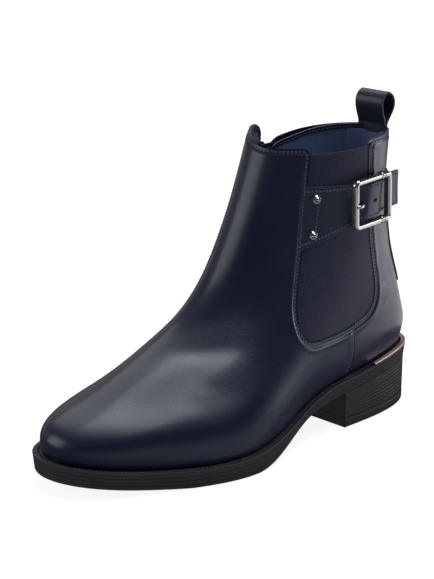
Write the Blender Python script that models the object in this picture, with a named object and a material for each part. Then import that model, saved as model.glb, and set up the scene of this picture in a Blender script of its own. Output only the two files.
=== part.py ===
# Buckle ankle boot for the left foot. +X points to the toe, +Y to the outer side, +Z up.
# The boot stands on z = 0, with the middle of its box over the origin.
# Sizes are millimetres in the last's own axes: x from behind the heel, y from the last's centre line.
# Round the foot an angle runs from the toe (0) over the outer side (90) to the heel (180) and the inner side.

import math

import bmesh
import bpy
import numpy as np
from mathutils import Matrix, Vector

MM = 0.001
GAP = 0.3                       # clearance between neighbouring pieces

# Upper
WALL = 2.2                      # leather and lining together
VAMP_LAP = 0.9                  # the vamp lies this much proud of the quarters
OUTER_SEAM = 116.3              # angle of the vamp's rear edge, outer side
INNER_SEAM = 100.0              # the same on the inner side, counted the other way round
SEAM_STEP = 0.6                 # angle over which the vamp's edge drops to the quarter
SEAM_TOP_RISE = 0.36            # both seams end here, at the gore and at the zip
LAP_FADE = (60.0, 90.0)         # angles between which the step above the seams fades out
LAP_FADE_RISE = 0.06
FEATHER_BLEND = 0.6             # rise above which the sole's curve no longer bends the levels

# Sole
LEDGE = 4.4                     # the outsole's top edge stands out this far round the upper
TOE_LEDGE = 1.1                 # and this much further at the toe
BOTTOM_OUTSET = 3.4             # the same at the outsole's bottom edge
RIB_GROOVE = 0.7
SOLE_RIBS = 4
HEEL_RIBS = 5
HEEL_BREAST_X = 75.5
HEEL_TAPER = 0.3                # the heel's foot is this much smaller all round than its top
TOP_LIFT_HEIGHT = 5.2
TOP_LIFT_EDGE = 0.7             # bevel at the floor
TRIM_INSET = 1.7                # groove between the upper and the metal trim
TRIM_HEIGHT = 1.2
TRIM_FRONT_ANGLE = 129.0
INSOLE_INSET = 3.0
INSOLE_HEIGHT = 2.5

# Side view of the sole: x, height of its top, height of its bottom before the floor cuts it flat
SOLE = np.array([
    (0.0, 32.9, 25.0),
    (29.0, 32.5, 24.6),
    (58.0, 29.7, 22.0),
    (92.0, 25.6, 18.2),
    (112.0, 20.2, 14.0),
    (131.0, 14.9, 6.8),
    (150.0, 11.5, 0.9),
    (170.0, 9.9, -0.4),
    (190.0, 9.65, -0.3),
    (213.0, 10.9, 1.5),
    (256.0, 16.3, 7.0),
])

# Levels of the upper from the feather edge (rise 0) to the collar (rise 1):
# rise, x and z of the level's front end, x and z of its back end
LEVELS = np.array([
    (0.00, 249.9, 16.0, 6.8, 33.3),
    (0.07, 249.9, 24.0, 4.6, 40.7),
    (0.15, 243.2, 30.5, 4.8, 48.5),
    (0.25, 224.5, 37.9, 8.2, 59.1),
    (0.38, 195.5, 50.4, 12.0, 73.7),
    (0.52, 165.1, 66.1, 16.2, 91.1),
    (0.68, 140.4, 91.7, 19.4, 111.5),
    (0.84, 123.2, 125.3, 21.3, 133.6),
    (1.00, 111.0, 156.9, 20.8, 158.8),
])

# Half-widths of those levels, a row for each, at these shares of the way from heel to toe
STATIONS = np.array([0.0, 0.2, 0.42, 0.66, 0.86, 1.0])
OUTER_WIDTHS = np.array([
    (43.0, 35.6, 36.0, 52.2, 49.1, 53.4),
    (43.8, 37.8, 38.3, 53.3, 50.4, 54.3),
    (47.5, 39.3, 39.3, 51.9, 49.9, 52.4),
    (48.5, 38.8, 38.8, 46.5, 45.6, 46.5),
    (43.0, 36.8, 37.3, 39.7, 39.7, 39.7),
    (34.5, 33.9, 35.4, 35.4, 34.9, 34.9),
    (31.0, 31.5, 33.0, 32.5, 32.0, 32.0),
    (29.1, 30.1, 31.0, 31.0, 31.0, 31.0),
    (30.1, 31.0, 31.5, 31.5, 31.0, 31.0),
])
INNER_WIDTHS = np.array([
    (45.0, 38.8, 29.1, 43.2, 53.0, 53.9),
    (45.5, 40.7, 31.5, 45.1, 54.3, 55.3),
    (47.5, 41.2, 33.4, 44.1, 52.4, 53.3),
    (47.0, 40.2, 34.9, 40.2, 43.6, 43.6),
    (42.0, 37.8, 35.4, 35.9, 35.9, 34.9),
    (34.5, 34.4, 34.4, 33.4, 32.5, 32.0),
    (31.0, 31.5, 33.0, 32.5, 32.0, 32.0),
    (29.1, 30.1, 31.0, 31.0, 31.0, 31.0),
    (30.1, 31.0, 31.5, 31.5, 31.0, 31.0),
])

# Gore's opening in the outer side, drawn through these x, z from the rear top round to the front top
GORE_EDGE = [
    (58.4, 156.0), (56.8, 136.0), (55.4, 112.0), (53.2, 97.0), (50.6, 86.0), (49.2, 77.0), (50.0, 70.5),
    (53.0, 65.0), (59.0, 61.2), (67.0, 59.0), (78.0, 57.1), (90.0, 56.4), (100.0, 56.3), (108.0, 58.0),
    (112.6, 61.8), (114.2, 67.5), (113.8, 74.5), (111.4, 83.0), (108.4, 92.5), (104.8, 106.0),
    (101.4, 122.5), (99.3, 136.0), (98.4, 156.0),
]
GORE_TOP = 154.7
GORE_DEPTH = 0.5                # the elastic lies this far behind the leather's face
GORE_THICKNESS = 1.4
PANEL_CORNER = 5.0              # round corners of the leather beside gore and zip, at the collar
CUTTER_TOP = 185.0
CUTTER_REACH = (8.0, 80.0)      # from inside the shaft to clear of it

# Zip's slit in the inner side: height and x of its centre line
ZIP_LINE = np.array([(66.0, 92.0), (90.0, 87.2), (110.0, 84.0), (150.0, 80.0), (170.0, 78.2)])
ZIP_HALF = 4.2
ZIP_TOP = 152.5
ZIP_TAPE_DEPTH = 1.1
ZIP_TAPE_THICKNESS = 1.0
ZIP_COIL_HALF = 2.2
ZIP_COIL_RISE = 0.8

# Slider and pull tab, in the plane of the shaft's wall
SLIDER_Z = 146.0
SLIDER_LIFT = 0.4
SLIDER_SIZE = (8.0, 11.0, 2.6)  # along the foot, up, out
SLIDER_FOOT = 0.6               # width of its lower end, as a share of its full width
EAR_THICKNESS = 1.2
EAR_RADIUS = 1.9
EAR_ROOT = 0.6                  # how deep the ears are let into the slider
HINGE_OUT = 2.1                 # hinge axis in front of the slider's face
HINGE_UP = 2.4                  # hinge axis above the slider's middle
TAB_WIDTH = 3.6
TAB_LENGTH = 16.5
TAB_THICKNESS = 1.3
TAB_EYE_RADIUS = 1.2
# One side of the tab below the hinge: share of its half thickness, drop
TAB_SIDE = [(1.0, 1.6), (1.0, TAB_LENGTH - 2.5), (1.5, TAB_LENGTH - 1.2), (1.2, TAB_LENGTH)]

# Strap over the gore: angle and z of its lower edge, angle and z of its upper edge, lift off the upper
STRAP = np.array([
    (65.2, 106.5, 61.4, 137.2, 0.5),
    (75.0, 109.8, 72.0, 137.0, 0.5),
    (84.0, 113.2, 83.0, 136.2, 0.5),
    (90.0, 115.4, 90.0, 135.4, 0.5),
    (94.0, 116.0, 94.0, 135.4, 1.3),
    (98.0, 116.1, 98.0, 135.5, 3.0),
    (102.0, 116.3, 102.0, 135.6, 3.8),
    (110.0, 116.5, 110.0, 135.8, 3.8),
    (114.0, 116.6, 114.0, 135.9, 3.0),
    (119.0, 116.7, 119.0, 136.0, 1.7),
    (125.0, 116.7, 125.0, 136.1, 1.5),
    (132.0, 116.7, 132.0, 136.3, 2.2),
    (139.0, 116.8, 139.0, 136.4, 3.6),
    (145.0, 116.7, 145.0, 136.5, 5.5),
])
STRAP_THICKNESS = 1.6
STRAP_STEPS = 26
STRAP_HOLE_ANGLE = 96.2
STRAP_HOLE = (7.6, 3.2)         # slot for the prong, along and across the strap

# Tab that carries the buckle, on the rear quarter
REAR_STRAP_ANGLES = (100.0, 159.2)
REAR_STRAP_Z = (116.5, 135.5)
REAR_STRAP_LIFT = 0.3
REAR_STRAP_THICKNESS = 0.9

# Buckle, in its own plane on the outer side
BUCKLE_X = 60.0
BUCKLE_Z = 125.8
BUCKLE_LIFT = 6.4               # front face above the upper
BUCKLE_TURN = math.radians(9.5)
BUCKLE_ROLL = math.radians(1.6)
BUCKLE_SIZE = (33.0, 25.6)      # along and across the strap
BUCKLE_BAR = 2.3                # width of the frame's bars
BUCKLE_DEPTH = 4.2
BUCKLE_CORNER = 3.2
BUCKLE_INNER_CORNER = 1.7
BUCKLE_EDGE = 0.7               # bevel round the front face
CENTRE_BAR_ALONG = 4.0
CENTRE_BAR = (1.8, 1.8)         # along the strap, deep
CENTRE_BAR_LIFT = 1.5           # underside of the centre bar above the upper
PRONG_RADIUS = 0.85
# Prong's path in the buckle's plane: along the strap, in front of the upper
PRONG = [
    (2.7, 2.65), (-5.0, 2.65), (-7.6, 3.7), (-9.6, 5.8),
    (-11.8, 7.3), (-14.5, 7.6), (-17.0, 7.3), (-18.3, 6.5),
]

# Studs on the strap's base: angle, z
STUDS = {"stud_upper": (66.5, 131.0), "stud_lower": (69.8, 112.6)}
STUD_RADIUS = 2.3
STUD_HEIGHT = 2.6

# Back of the boot
BACKSTAY_HALF = 10.0
BACKSTAY_Z = (68.0, 157.2)
BACKSTAY_LIFT = 0.3
BACKSTAY_THICKNESS = 1.0
LOOP_WIDTH = 20.6
LOOP_THICKNESS = 1.3
LOOP_X = 22.2                   # middle of the collar's rim at the back
LOOP_TOP = 17.9                 # middle line's crown above the rim
LOOP_SEAM = 0.15                # half the gap between the band's two ends
# Loop's outline above the rim: height, half-depth of its middle line
LOOP = np.array([(0.65, 0.7), (3.4, 1.9), (6.8, 3.6), (10.1, 4.7), (13.5, 4.6), (16.0, 3.3), (17.4, 1.5)])

# Colours (linear), roughness and metallic value
FINISHES = {
    "navy_leather": ((0.020, 0.024, 0.042), 0.38, 0.0),
    "navy_elastic": ((0.016, 0.018, 0.032), 0.85, 0.0),
    "black_leather": ((0.012, 0.013, 0.018), 0.5, 0.0),
    "sock_lining": ((0.03, 0.045, 0.07), 0.8, 0.0),
    "charcoal_rubber": ((0.022, 0.022, 0.024), 0.6, 0.0),
    "rose_gold": ((0.62, 0.42, 0.33), 0.3, 1.0),
    "bright_steel": ((0.75, 0.74, 0.72), 0.15, 1.0),
    "zip_steel": ((0.25, 0.25, 0.27), 0.3, 1.0),
    "zip_tape": ((0.012, 0.013, 0.02), 0.8, 0.0),
}


def spline(knots, values, at):
    # Natural cubic through a table's rows; values may have several columns.
    knots = np.asarray(knots, float)
    values = np.asarray(values, float)
    at = np.asarray(at, float)
    step = np.diff(knots)
    slope = (np.diff(values, axis=0).T / step).T
    bend = np.eye(len(knots))
    right = np.zeros_like(values)
    for row in range(1, len(knots) - 1):
        bend[row, row - 1:row + 2] = step[row - 1], 2 * (step[row - 1] + step[row]), step[row]
        right[row] = 6 * (slope[row] - slope[row - 1])
    second = np.linalg.solve(bend, right)
    cell = np.clip(np.searchsorted(knots, at) - 1, 0, len(knots) - 2)
    extra = (1,) * (values.ndim - 1)
    width = step[cell].reshape(at.shape + extra)
    before = (at - knots[cell]).reshape(at.shape + extra)
    after = (knots[cell + 1] - at).reshape(at.shape + extra)
    curve = (second[cell] * after ** 3 + second[cell + 1] * before ** 3) / (6 * width)
    left = (values[cell] / width - second[cell] * width / 6) * after
    return curve + left + (values[cell + 1] / width - second[cell + 1] * width / 6) * before


def smooth_line(points, count):
    # Points at equal steps of length along a spline through the given ones.
    points = np.asarray(points, float)
    length = np.concatenate([[0], np.cumsum(np.linalg.norm(np.diff(points, axis=0), axis=1))])
    return spline(length, points, np.linspace(0, length[-1], count))


def sole_top(x):
    return spline(SOLE[:, 0], SOLE[:, 1], np.clip(x, SOLE[0, 0], SOLE[-1, 0]))


def sole_bottom(x):
    # The forefoot is flat on the floor between the arch and the toe spring.
    return np.maximum(spline(SOLE[:, 0], SOLE[:, 2], np.clip(x, SOLE[0, 0], SOLE[-1, 0])), 0)


def half_width(share, rise, table):
    weights = spline(STATIONS, np.eye(len(STATIONS)), share)
    return (spline(LEVELS[:, 0], table, rise) * weights).sum(axis=-1)


def last_point(angle, rise):
    # Face of the upper: each level is an oval between its front and back ends, with its own widths,
    # and near the sole it bends to follow the sole's top.
    angle, rise = np.broadcast_arrays(np.asarray(angle, float), np.asarray(rise, float))
    front_x, front_z, back_x, back_z = np.moveaxis(spline(LEVELS[:, 0], LEVELS[:, 1:], rise), -1, 0)
    share = (1 + np.cos(angle)) / 2
    x = back_x + share * (front_x - back_x)
    base_front_x, base_front_z, base_back_x, base_back_z = LEVELS[0, 1:]
    base_x = base_back_x + share * (base_front_x - base_back_x)
    base_z = base_back_z + share * (base_front_z - base_back_z)
    sag = (sole_top(base_x) + GAP - base_z) * np.clip(1 - rise / FEATHER_BLEND, 0, 1) ** 2
    z = back_z + share * (front_z - back_z) + sag
    outer = half_width(share, rise, OUTER_WIDTHS)
    inner = half_width(share, rise, INNER_WIDTHS)
    y = np.where(np.sin(angle) >= 0, outer, inner) * np.sin(angle)
    return np.stack([x, y, z], axis=-1)


def last_normal(angle, rise):
    small = 1e-4
    around = last_point(angle + small, rise) - last_point(angle - small, rise)
    upward = last_point(angle, rise + small) - last_point(angle, rise - small)
    normal = np.cross(around, upward)
    return normal / np.linalg.norm(normal, axis=-1, keepdims=True)


def skin(angle, rise, lift):
    angle, rise, lift = np.broadcast_arrays(angle, rise, lift)
    return last_point(angle, rise) + lift[..., None] * last_normal(angle, rise)


def rise_at(angle, z):
    # Rise where the face passes height z at an angle, by halving.
    angle, z = np.broadcast_arrays(np.asarray(angle, float), np.asarray(z, float))
    low = np.zeros_like(z)
    high = np.ones_like(z)
    for _ in range(40):
        middle = (low + high) / 2
        below = last_point(angle, middle)[..., 2] < z
        low = np.where(below, middle, low)
        high = np.where(below, high, middle)
    return (low + high) / 2


def on_shaft(angle, z, lift):
    angle = np.asarray(angle, float)
    return skin(angle, rise_at(angle, z), lift)


def angle_at(x, z, side):
    # Angle and rise of the face's point at x and z on one side (1 outer, -1 inner), by halving.
    x, z = np.broadcast_arrays(np.asarray(x, float), np.asarray(z, float))
    low = np.zeros_like(x)
    high = np.ones_like(x)
    for _ in range(40):
        rise = (low + high) / 2
        front_x, _, back_x, _ = np.moveaxis(spline(LEVELS[:, 0], LEVELS[:, 1:], rise), -1, 0)
        share = np.clip((x - back_x) / (front_x - back_x), 0, 1)
        angle = side * np.arccos(2 * share - 1)
        below = last_point(angle, rise)[..., 2] < z
        low = np.where(below, rise, low)
        high = np.where(below, high, rise)
    return angle, rise


def side_y(x, z, side):
    angle, rise = angle_at(x, z, side)
    return last_point(angle, rise)[..., 1]


def feather(angle, outset):
    # Plan outline of the upper's lower edge, moved outwards.
    small = 1e-4
    along = (last_point(angle + small, 0.0) - last_point(angle - small, 0.0))[..., :2]
    out = np.stack([along[..., 1], -along[..., 0]], axis=-1)
    out /= np.linalg.norm(out, axis=-1, keepdims=True)
    return last_point(angle, 0.0)[..., :2] + np.asarray(outset)[..., None] * out


def toe_ledge(angles):
    return TOE_LEDGE * np.clip(np.cos(angles), 0, 1) ** 2


def ring_angles(count):
    return (np.arange(count) + 0.5) * 2 * math.pi / count


# Middle of the boot's box in plan, which is the outsole's
EDGE = feather(ring_angles(720), LEDGE + toe_ledge(ring_angles(720)))
CENTRE = np.array([*(EDGE.min(axis=0) + EDGE.max(axis=0)) / 2, 0.0])


def finish(name):
    colour, roughness, metallic = FINISHES[name]
    material = bpy.data.materials.get(name) or bpy.data.materials.new(name)
    material.use_nodes = True
    shader = material.node_tree.nodes["Principled BSDF"]
    shader.inputs["Base Color"].default_value = (*colour, 1)
    shader.inputs["Roughness"].default_value = roughness
    shader.inputs["Metallic"].default_value = metallic
    return material


def solid(name, points, faces, material=None, origin=None):
    # Closed body from millimetre points in the last's axes, faces turned outwards.
    points = (np.asarray(points, float).reshape(-1, 3) - CENTRE) * MM
    centre = np.zeros(3) if origin is None else (np.asarray(origin) - CENTRE) * MM
    mesh = bpy.data.meshes.new(name)
    mesh.from_pydata((points - centre).tolist(), [], [tuple(int(i) for i in face) for face in faces])
    body = bmesh.new()
    body.from_mesh(mesh)
    bmesh.ops.recalc_face_normals(body, faces=body.faces)
    body.to_mesh(mesh)
    body.free()
    mesh.shade_smooth()
    mesh.set_sharp_from_angle(angle=math.radians(35))
    item = bpy.data.objects.new(name, mesh)
    item.location = centre
    bpy.context.scene.collection.objects.link(item)
    if material:
        mesh.materials.append(finish(material))
    return item


def grid_faces(rows, columns, first=0, wrap=False):
    faces = []
    for row in range(rows - 1):
        for column in range(columns if wrap else columns - 1):
            beside = (column + 1) % columns
            low = first + row * columns
            faces.append((low + column, low + beside, low + columns + beside, low + columns + column))
    return faces


def plate(name, outer, inner, material):
    # Sheet between two grids of the same shape, closed round its border.
    rows, columns = outer.shape[:2]
    far = rows * columns
    faces = grid_faces(rows, columns)
    faces += [tuple(reversed(face)) for face in grid_faces(rows, columns, far)]
    border = [*range(columns)]
    border += [row * columns + columns - 1 for row in range(1, rows)]
    border += [far - 2 - column for column in range(columns - 1)]
    border += [row * columns for row in range(rows - 2, 0, -1)]
    for here, there in zip(border, border[1:] + border[:1]):
        faces.append((there, here, far + here, far + there))
    return solid(name, np.concatenate([outer.reshape(-1, 3), inner.reshape(-1, 3)]), faces, material)


def stack(name, rings, material):
    # Body through closed rings; its ends are closed by strips between the two sides of the foot.
    count, around = rings.shape[:2]
    faces = grid_faces(count, around, wrap=True)
    for first in (0, (count - 1) * around):
        for column in range(around // 2 - 1):
            other = around - 1 - column
            faces.append((first + column, first + column + 1, first + other - 1, first + other))
    return solid(name, rings, faces, material)


def hoop(name, rings, material):
    # Ring-shaped body: closed rings that follow each other round a section.
    count, around = rings.shape[:2]
    faces = grid_faces(count, around, wrap=True)
    last = (count - 1) * around
    for column in range(around):
        beside = (column + 1) % around
        faces.append((last + column, last + beside, beside, column))
    return solid(name, rings, faces, material)


def prism(name, outline, reach, side):
    # Cutter along Y through one side of the shaft, from an outline in x and z.
    outline = np.asarray(outline)
    count = len(outline)
    near = np.insert(outline, 1, side * reach[0], axis=1)
    far = np.insert(outline, 1, side * reach[1], axis=1)
    faces = [tuple(range(count)), tuple(range(2 * count - 1, count - 1, -1))]
    faces += [(i, (i + 1) % count, count + (i + 1) % count, count + i) for i in range(count)]
    cutter = solid(name, np.concatenate([near, far]), faces)
    cutter.hide_render = True
    cutter.display_type = "WIRE"
    return cutter


def cut(item, tool, operation="DIFFERENCE"):
    modifier = item.modifiers.new(tool.name, "BOOLEAN")
    modifier.operation = operation
    modifier.object = tool
    modifier.solver = "EXACT"


def sole_ring(angles, outset, share):
    # Ring round the outsole at a share of the way from its top to its bottom.
    plan = feather(angles, outset + toe_ledge(angles))
    z = sole_top(plan[:, 0]) * (1 - share) + sole_bottom(plan[:, 0]) * share
    return np.column_stack([plan, z])


def rib_rows(ribs, edge=0.2):
    # Share of the height and depth of groove, row by row down a ribbed side.
    rows = [(0.0, 0.0)]
    for groove in range(1, ribs):
        middle = groove / ribs
        rows += [(middle - edge / ribs, 0.0), (middle, RIB_GROOVE), (middle + edge / ribs, 0.0)]
    return rows + [(1.0, 0.0)]


def make_outsole():
    angles = ring_angles(72)
    rings = []
    for share, groove in rib_rows(SOLE_RIBS):
        rings.append(sole_ring(angles, LEDGE + share * (BOTTOM_OUTSET - LEDGE) - groove, share))
    stack("outsole", np.array(rings), "charcoal_rubber")


def heel_plan(outset, count=44):
    # Plan of the heel from the breast's outer corner round the back to its inner corner.
    outer = np.radians(np.linspace(60, 180, 1201))
    inner = np.radians(np.linspace(180, 300, 1201))
    plan = []
    for angles, towards in ((outer, 1), (inner, -1)):
        x = feather(angles, np.full(len(angles), outset))[:, 0]
        corner = np.interp(-HEEL_BREAST_X, -x[::towards], angles[::towards])
        plan.append(np.linspace(corner, math.pi, count // 2 + 1)[::towards])
    angles = np.concatenate([plan[0][:-1] + np.diff(plan[0]) / 2, plan[1][:-1] + np.diff(plan[1]) / 2])
    angles[0] = plan[0][0]
    angles[-1] = plan[1][-1]
    return feather(angles, np.full(len(angles), outset))


def make_heel():
    rings = []
    for share, groove in rib_rows(HEEL_RIBS):
        plan = heel_plan(BOTTOM_OUTSET - share * HEEL_TAPER - groove)
        top = sole_bottom(plan[:, 0]) - GAP
        rings.append(np.column_stack([plan, top * (1 - share) + (TOP_LIFT_HEIGHT + GAP) * share]))
    stack("heel", np.array(rings), "charcoal_rubber")
    rings = []
    for z, outset in ((TOP_LIFT_HEIGHT, 0.0), (TOP_LIFT_EDGE, 0.0), (0.0, -TOP_LIFT_EDGE)):
        plan = heel_plan(BOTTOM_OUTSET - HEEL_TAPER + outset)
        rings.append(np.column_stack([plan, np.full(len(plan), z)]))
    stack("heel_top_lift", np.array(rings), "charcoal_rubber")


def make_trim():
    angles = np.radians(np.linspace(TRIM_FRONT_ANGLE, 360 - TRIM_FRONT_ANGLE, 32))
    grids = []
    for height in (GAP + TRIM_HEIGHT, GAP):
        rows = []
        for outset in (TRIM_INSET, LEDGE):
            plan = feather(angles, np.full(len(angles), outset))
            rows.append(np.column_stack([plan, sole_top(plan[:, 0]) + height]))
        grids.append(np.array(rows))
    plate("heel_trim", grids[0], grids[1], "rose_gold")


def make_insole():
    angles = ring_angles(60)
    plan = feather(angles, np.full(len(angles), -INSOLE_INSET))
    top = sole_top(plan[:, 0])
    rings = [np.column_stack([plan, top + GAP + INSOLE_HEIGHT]), np.column_stack([plan, top + GAP])]
    stack("insole", np.array(rings), "sock_lining")


def lap(angle, rise):
    # How far the vamp stands proud; above the seams the step fades out inside gore and zip.
    turn = np.degrees(np.where(angle <= math.pi, angle, 2 * math.pi - angle))
    fade = np.clip((turn - LAP_FADE[0]) / (LAP_FADE[1] - LAP_FADE[0]), 0, 1)
    above = np.clip((rise - SEAM_TOP_RISE) / LAP_FADE_RISE, 0, 1)
    return VAMP_LAP * (1 - fade * above)


def make_upper():
    front_outer = np.radians(np.linspace(0, OUTER_SEAM, 22))
    rear = np.radians(np.linspace(OUTER_SEAM + SEAM_STEP, 360 - INNER_SEAM - SEAM_STEP, 28))
    front_inner = np.radians(np.linspace(360 - INNER_SEAM, 360, 19)[:-1])
    angles = np.concatenate([front_outer, rear, front_inner])
    in_front = np.concatenate([np.ones(len(front_outer)), np.zeros(len(rear)), np.ones(len(front_inner))])
    above_seams = SEAM_TOP_RISE + LAP_FADE_RISE
    rises = np.concatenate([np.linspace(0, SEAM_TOP_RISE, 9), np.linspace(above_seams, 1, 11)])
    around, rise = np.meshgrid(angles, rises)
    outer = skin(around, rise, lap(around, rise) * in_front)
    inner = skin(around, rise, np.full_like(rise, -WALL))
    for wall in (outer, inner):
        wall[0, :, 2] = sole_top(wall[0, :, 0]) + GAP
    rows, columns = rise.shape
    far = rows * columns
    faces = grid_faces(rows, columns, wrap=True)
    faces += [tuple(reversed(face)) for face in grid_faces(rows, columns, far, wrap=True)]
    for row in (0, rows - 1):
        for column in range(columns):
            here = row * columns + column
            there = row * columns + (column + 1) % columns
            faces.append((here, there, far + there, far + here))
    points = np.concatenate([outer.reshape(-1, 3), inner.reshape(-1, 3)])
    upper = solid("upper", points, faces, "navy_leather")
    cut(upper, prism("gore_opening", opening_outline(gore_outline(0.0)), CUTTER_REACH, 1))
    cut(upper, prism("zip_opening", opening_outline(zip_outline()), CUTTER_REACH, -1))
    return upper


def collar_z(x, side):
    # Height of the collar at x on one side.
    share = (x - LEVELS[-1, 3]) / (LEVELS[-1, 1] - LEVELS[-1, 3])
    return last_point(side * math.acos(2 * share - 1), 1.0)[2]


def opening_outline(outline):
    # An opening's edge carried on up through the collar, with the leather's corners rounded off.
    quarter = np.linspace(0, math.pi / 2, 6)
    ends = []
    for end, outwards in ((outline[0], -1), (outline[-1], 1)):
        x = end[0]
        z = collar_z(x, 1) - PANEL_CORNER
        swing = np.column_stack([x + outwards * PANEL_CORNER * (1 - np.cos(quarter)),
                                 z + PANEL_CORNER * np.sin(quarter)])
        ends.append(np.vstack([swing, [swing[-1, 0], CUTTER_TOP]]))
    return np.vstack([ends[0][::-1], outline[1:-1], ends[1]])


def gore_outline(inset):
    line = smooth_line(GORE_EDGE, 42)
    along = np.gradient(line, axis=0)
    inwards = np.column_stack([-along[:, 1], along[:, 0]])
    return line + inset * inwards / np.linalg.norm(inwards, axis=1, keepdims=True)


def make_gore():
    angle, rise = np.meshgrid(np.radians(np.linspace(36, 134, 17)), np.linspace(0.24, 1.0, 11))
    face = last_point(angle, rise)
    front = face - [0, GORE_DEPTH, 0]
    back = front - [0, GORE_THICKNESS, 0]
    gore = plate("gore", front, back, "navy_elastic")
    edge = gore_outline(GAP)
    cut(gore, prism("gore_shape", edge[(edge[:, 1] < GORE_TOP - 0.5)], CUTTER_REACH, 1), "INTERSECT")
    return gore


def zip_x(z):
    return spline(ZIP_LINE[:, 0], ZIP_LINE[:, 1], z)


def zip_outline():
    z = np.linspace(ZIP_LINE[0, 0], ZIP_TOP, 9)
    rear = np.column_stack([zip_x(z) - ZIP_HALF, z])
    front = np.column_stack([zip_x(z) + ZIP_HALF, z])
    return np.vstack([rear[::-1], front])


def make_zip_tape():
    half = ZIP_HALF - GAP
    across = np.array([-half, -ZIP_COIL_HALF, -ZIP_COIL_HALF * 0.6, ZIP_COIL_HALF * 0.6, ZIP_COIL_HALF, half])
    proud = np.array([0, 0, ZIP_COIL_RISE, ZIP_COIL_RISE, 0, 0])
    z, step = np.meshgrid(np.linspace(ZIP_LINE[0, 0] + GAP, ZIP_TOP, 12), across, indexing="ij")
    x = zip_x(z) + step
    y = side_y(x, z, -1) + ZIP_TAPE_DEPTH
    outer = np.stack([x, y - proud, z], axis=-1)
    inner = np.stack([x, y + ZIP_TAPE_THICKNESS, z], axis=-1)
    plate("zip_tape", outer, inner, "zip_tape")


def slider_frame():
    # Middle of the slider's back, and its directions along the foot, up and out.
    x = float(zip_x(SLIDER_Z))
    angle, rise = angle_at(x, SLIDER_Z, -1)
    out = Vector(last_normal(angle, rise))
    out.z = 0
    out.normalize()
    up = Vector((0, 0, 1))
    back = Vector(last_point(angle, rise)) + SLIDER_LIFT * out
    return back, up.cross(out), up, out


def hinge_point():
    back, along, up, out = slider_frame()
    return back + (SLIDER_SIZE[2] + HINGE_OUT) * out + HINGE_UP * up


def extrude(outline, half, centre, right, up, out):
    # Points and faces of an outline given as steps along right and up, thick along out.
    near = [centre + a * right + b * up - half * out for a, b in outline]
    far = [centre + a * right + b * up + half * out for a, b in outline]
    count = len(outline)
    faces = [tuple(range(count)), tuple(range(2 * count - 1, count - 1, -1))]
    faces += [(i, (i + 1) % count, count + (i + 1) % count, count + i) for i in range(count)]
    return [tuple(point) for point in near + far], faces


def arc(radius, start, end, count, centre=(0.0, 0.0)):
    angles = np.radians(np.linspace(start, end, count))
    return [(centre[0] + radius * math.cos(a), centre[1] + radius * math.sin(a)) for a in angles]


def make_slider():
    back, along, up, out = slider_frame()
    wide, tall, deep = SLIDER_SIZE
    foot = SLIDER_FOOT * wide / 2
    crown = (0.0, tall / 2 - wide / 2)
    # Round above, tapered to the closed coil below.
    outline = [(-wide / 2, 0.0), (-foot, -tall / 2), (foot, -tall / 2), (wide / 2, 0.0)]
    outline += arc(wide / 2, 0, 180, 9, crown)
    points, faces = extrude(outline, deep / 2, back + deep / 2 * out, along, up, out)
    slider = solid("zip_slider", points, faces, "zip_steel")
    gap_half = TAB_WIDTH / 2 + GAP
    root = -HINGE_OUT - EAR_ROOT
    ear = [(root, -EAR_RADIUS)] + arc(EAR_RADIUS, -90, 90, 7) + [(root, EAR_RADIUS)]
    for side in (-1, 1):
        middle = hinge_point() + side * (gap_half + EAR_THICKNESS / 2) * along
        points, faces = extrude(ear, EAR_THICKNESS / 2, middle, out, up, along)
        lug = solid(f"slider_ear_{'rear' if side < 0 else 'front'}", points, faces)
        lug.hide_render = True
        lug.display_type = "WIRE"
        cut(slider, lug, "UNION")


def make_pull_tab():
    _, along, up, out = slider_frame()
    # Section seen along the hinge: a round eye above a flat tab with a swelling at its foot.
    side = [(TAB_THICKNESS / 2 * share, -drop) for share, drop in TAB_SIDE]
    outline = arc(TAB_EYE_RADIUS, -30, 210, 11) + [(-a, b) for a, b in side] + side[::-1]
    points, faces = extrude(outline, TAB_WIDTH / 2, hinge_point(), out, up, along)
    solid("zip_pull_tab", points, faces, "zip_steel", origin=hinge_point())


def strap_grid(steps, lift):
    # Strap's face from its table, with a row at the lower edge, the middle and the upper edge.
    at = np.linspace(0, 1, steps)
    rows = spline(np.linspace(0, 1, len(STRAP)), STRAP, at)
    low_angle, low_z, high_angle, high_z, off = rows.T
    grid = []
    for share in (0.0, 0.5, 1.0):
        angle = np.radians(low_angle + share * (high_angle - low_angle))
        grid.append(on_shaft(angle, low_z + share * (high_z - low_z), off + lift))
    return np.array(grid)


def make_straps():
    face = strap_grid(STRAP_STEPS, STRAP_THICKNESS)
    strap = plate("strap", face, strap_grid(STRAP_STEPS, 0.0), "navy_leather")
    hole = on_shaft(math.radians(STRAP_HOLE_ANGLE), BUCKLE_Z, 0.0)
    along, across = STRAP_HOLE
    outline = arc(across / 2, -90, 90, 5, (hole[0] + (along - across) / 2, hole[2]))
    outline += arc(across / 2, 90, 270, 5, (hole[0] - (along - across) / 2, hole[2]))
    cut(strap, prism("strap_slot", outline, CUTTER_REACH, 1))
    angle, z = np.meshgrid(np.radians(np.linspace(*REAR_STRAP_ANGLES, 13)), REAR_STRAP_Z)
    outer = on_shaft(angle, z, REAR_STRAP_LIFT + REAR_STRAP_THICKNESS)
    plate("strap_rear", outer, on_shaft(angle, z, REAR_STRAP_LIFT), "navy_leather")


def buckle_frame():
    # Point of the upper under the buckle's middle, and the directions along, across and out of the strap.
    angle, rise = angle_at(BUCKLE_X, BUCKLE_Z, 1)
    base = Vector(last_point(angle, rise))
    level = Vector((-math.cos(BUCKLE_TURN), -math.sin(BUCKLE_TURN), 0))
    out = Vector((-math.sin(BUCKLE_TURN), math.cos(BUCKLE_TURN), 0))
    along = Matrix.Rotation(BUCKLE_ROLL, 3, out) @ level
    return base, along, along.cross(out), out


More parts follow.
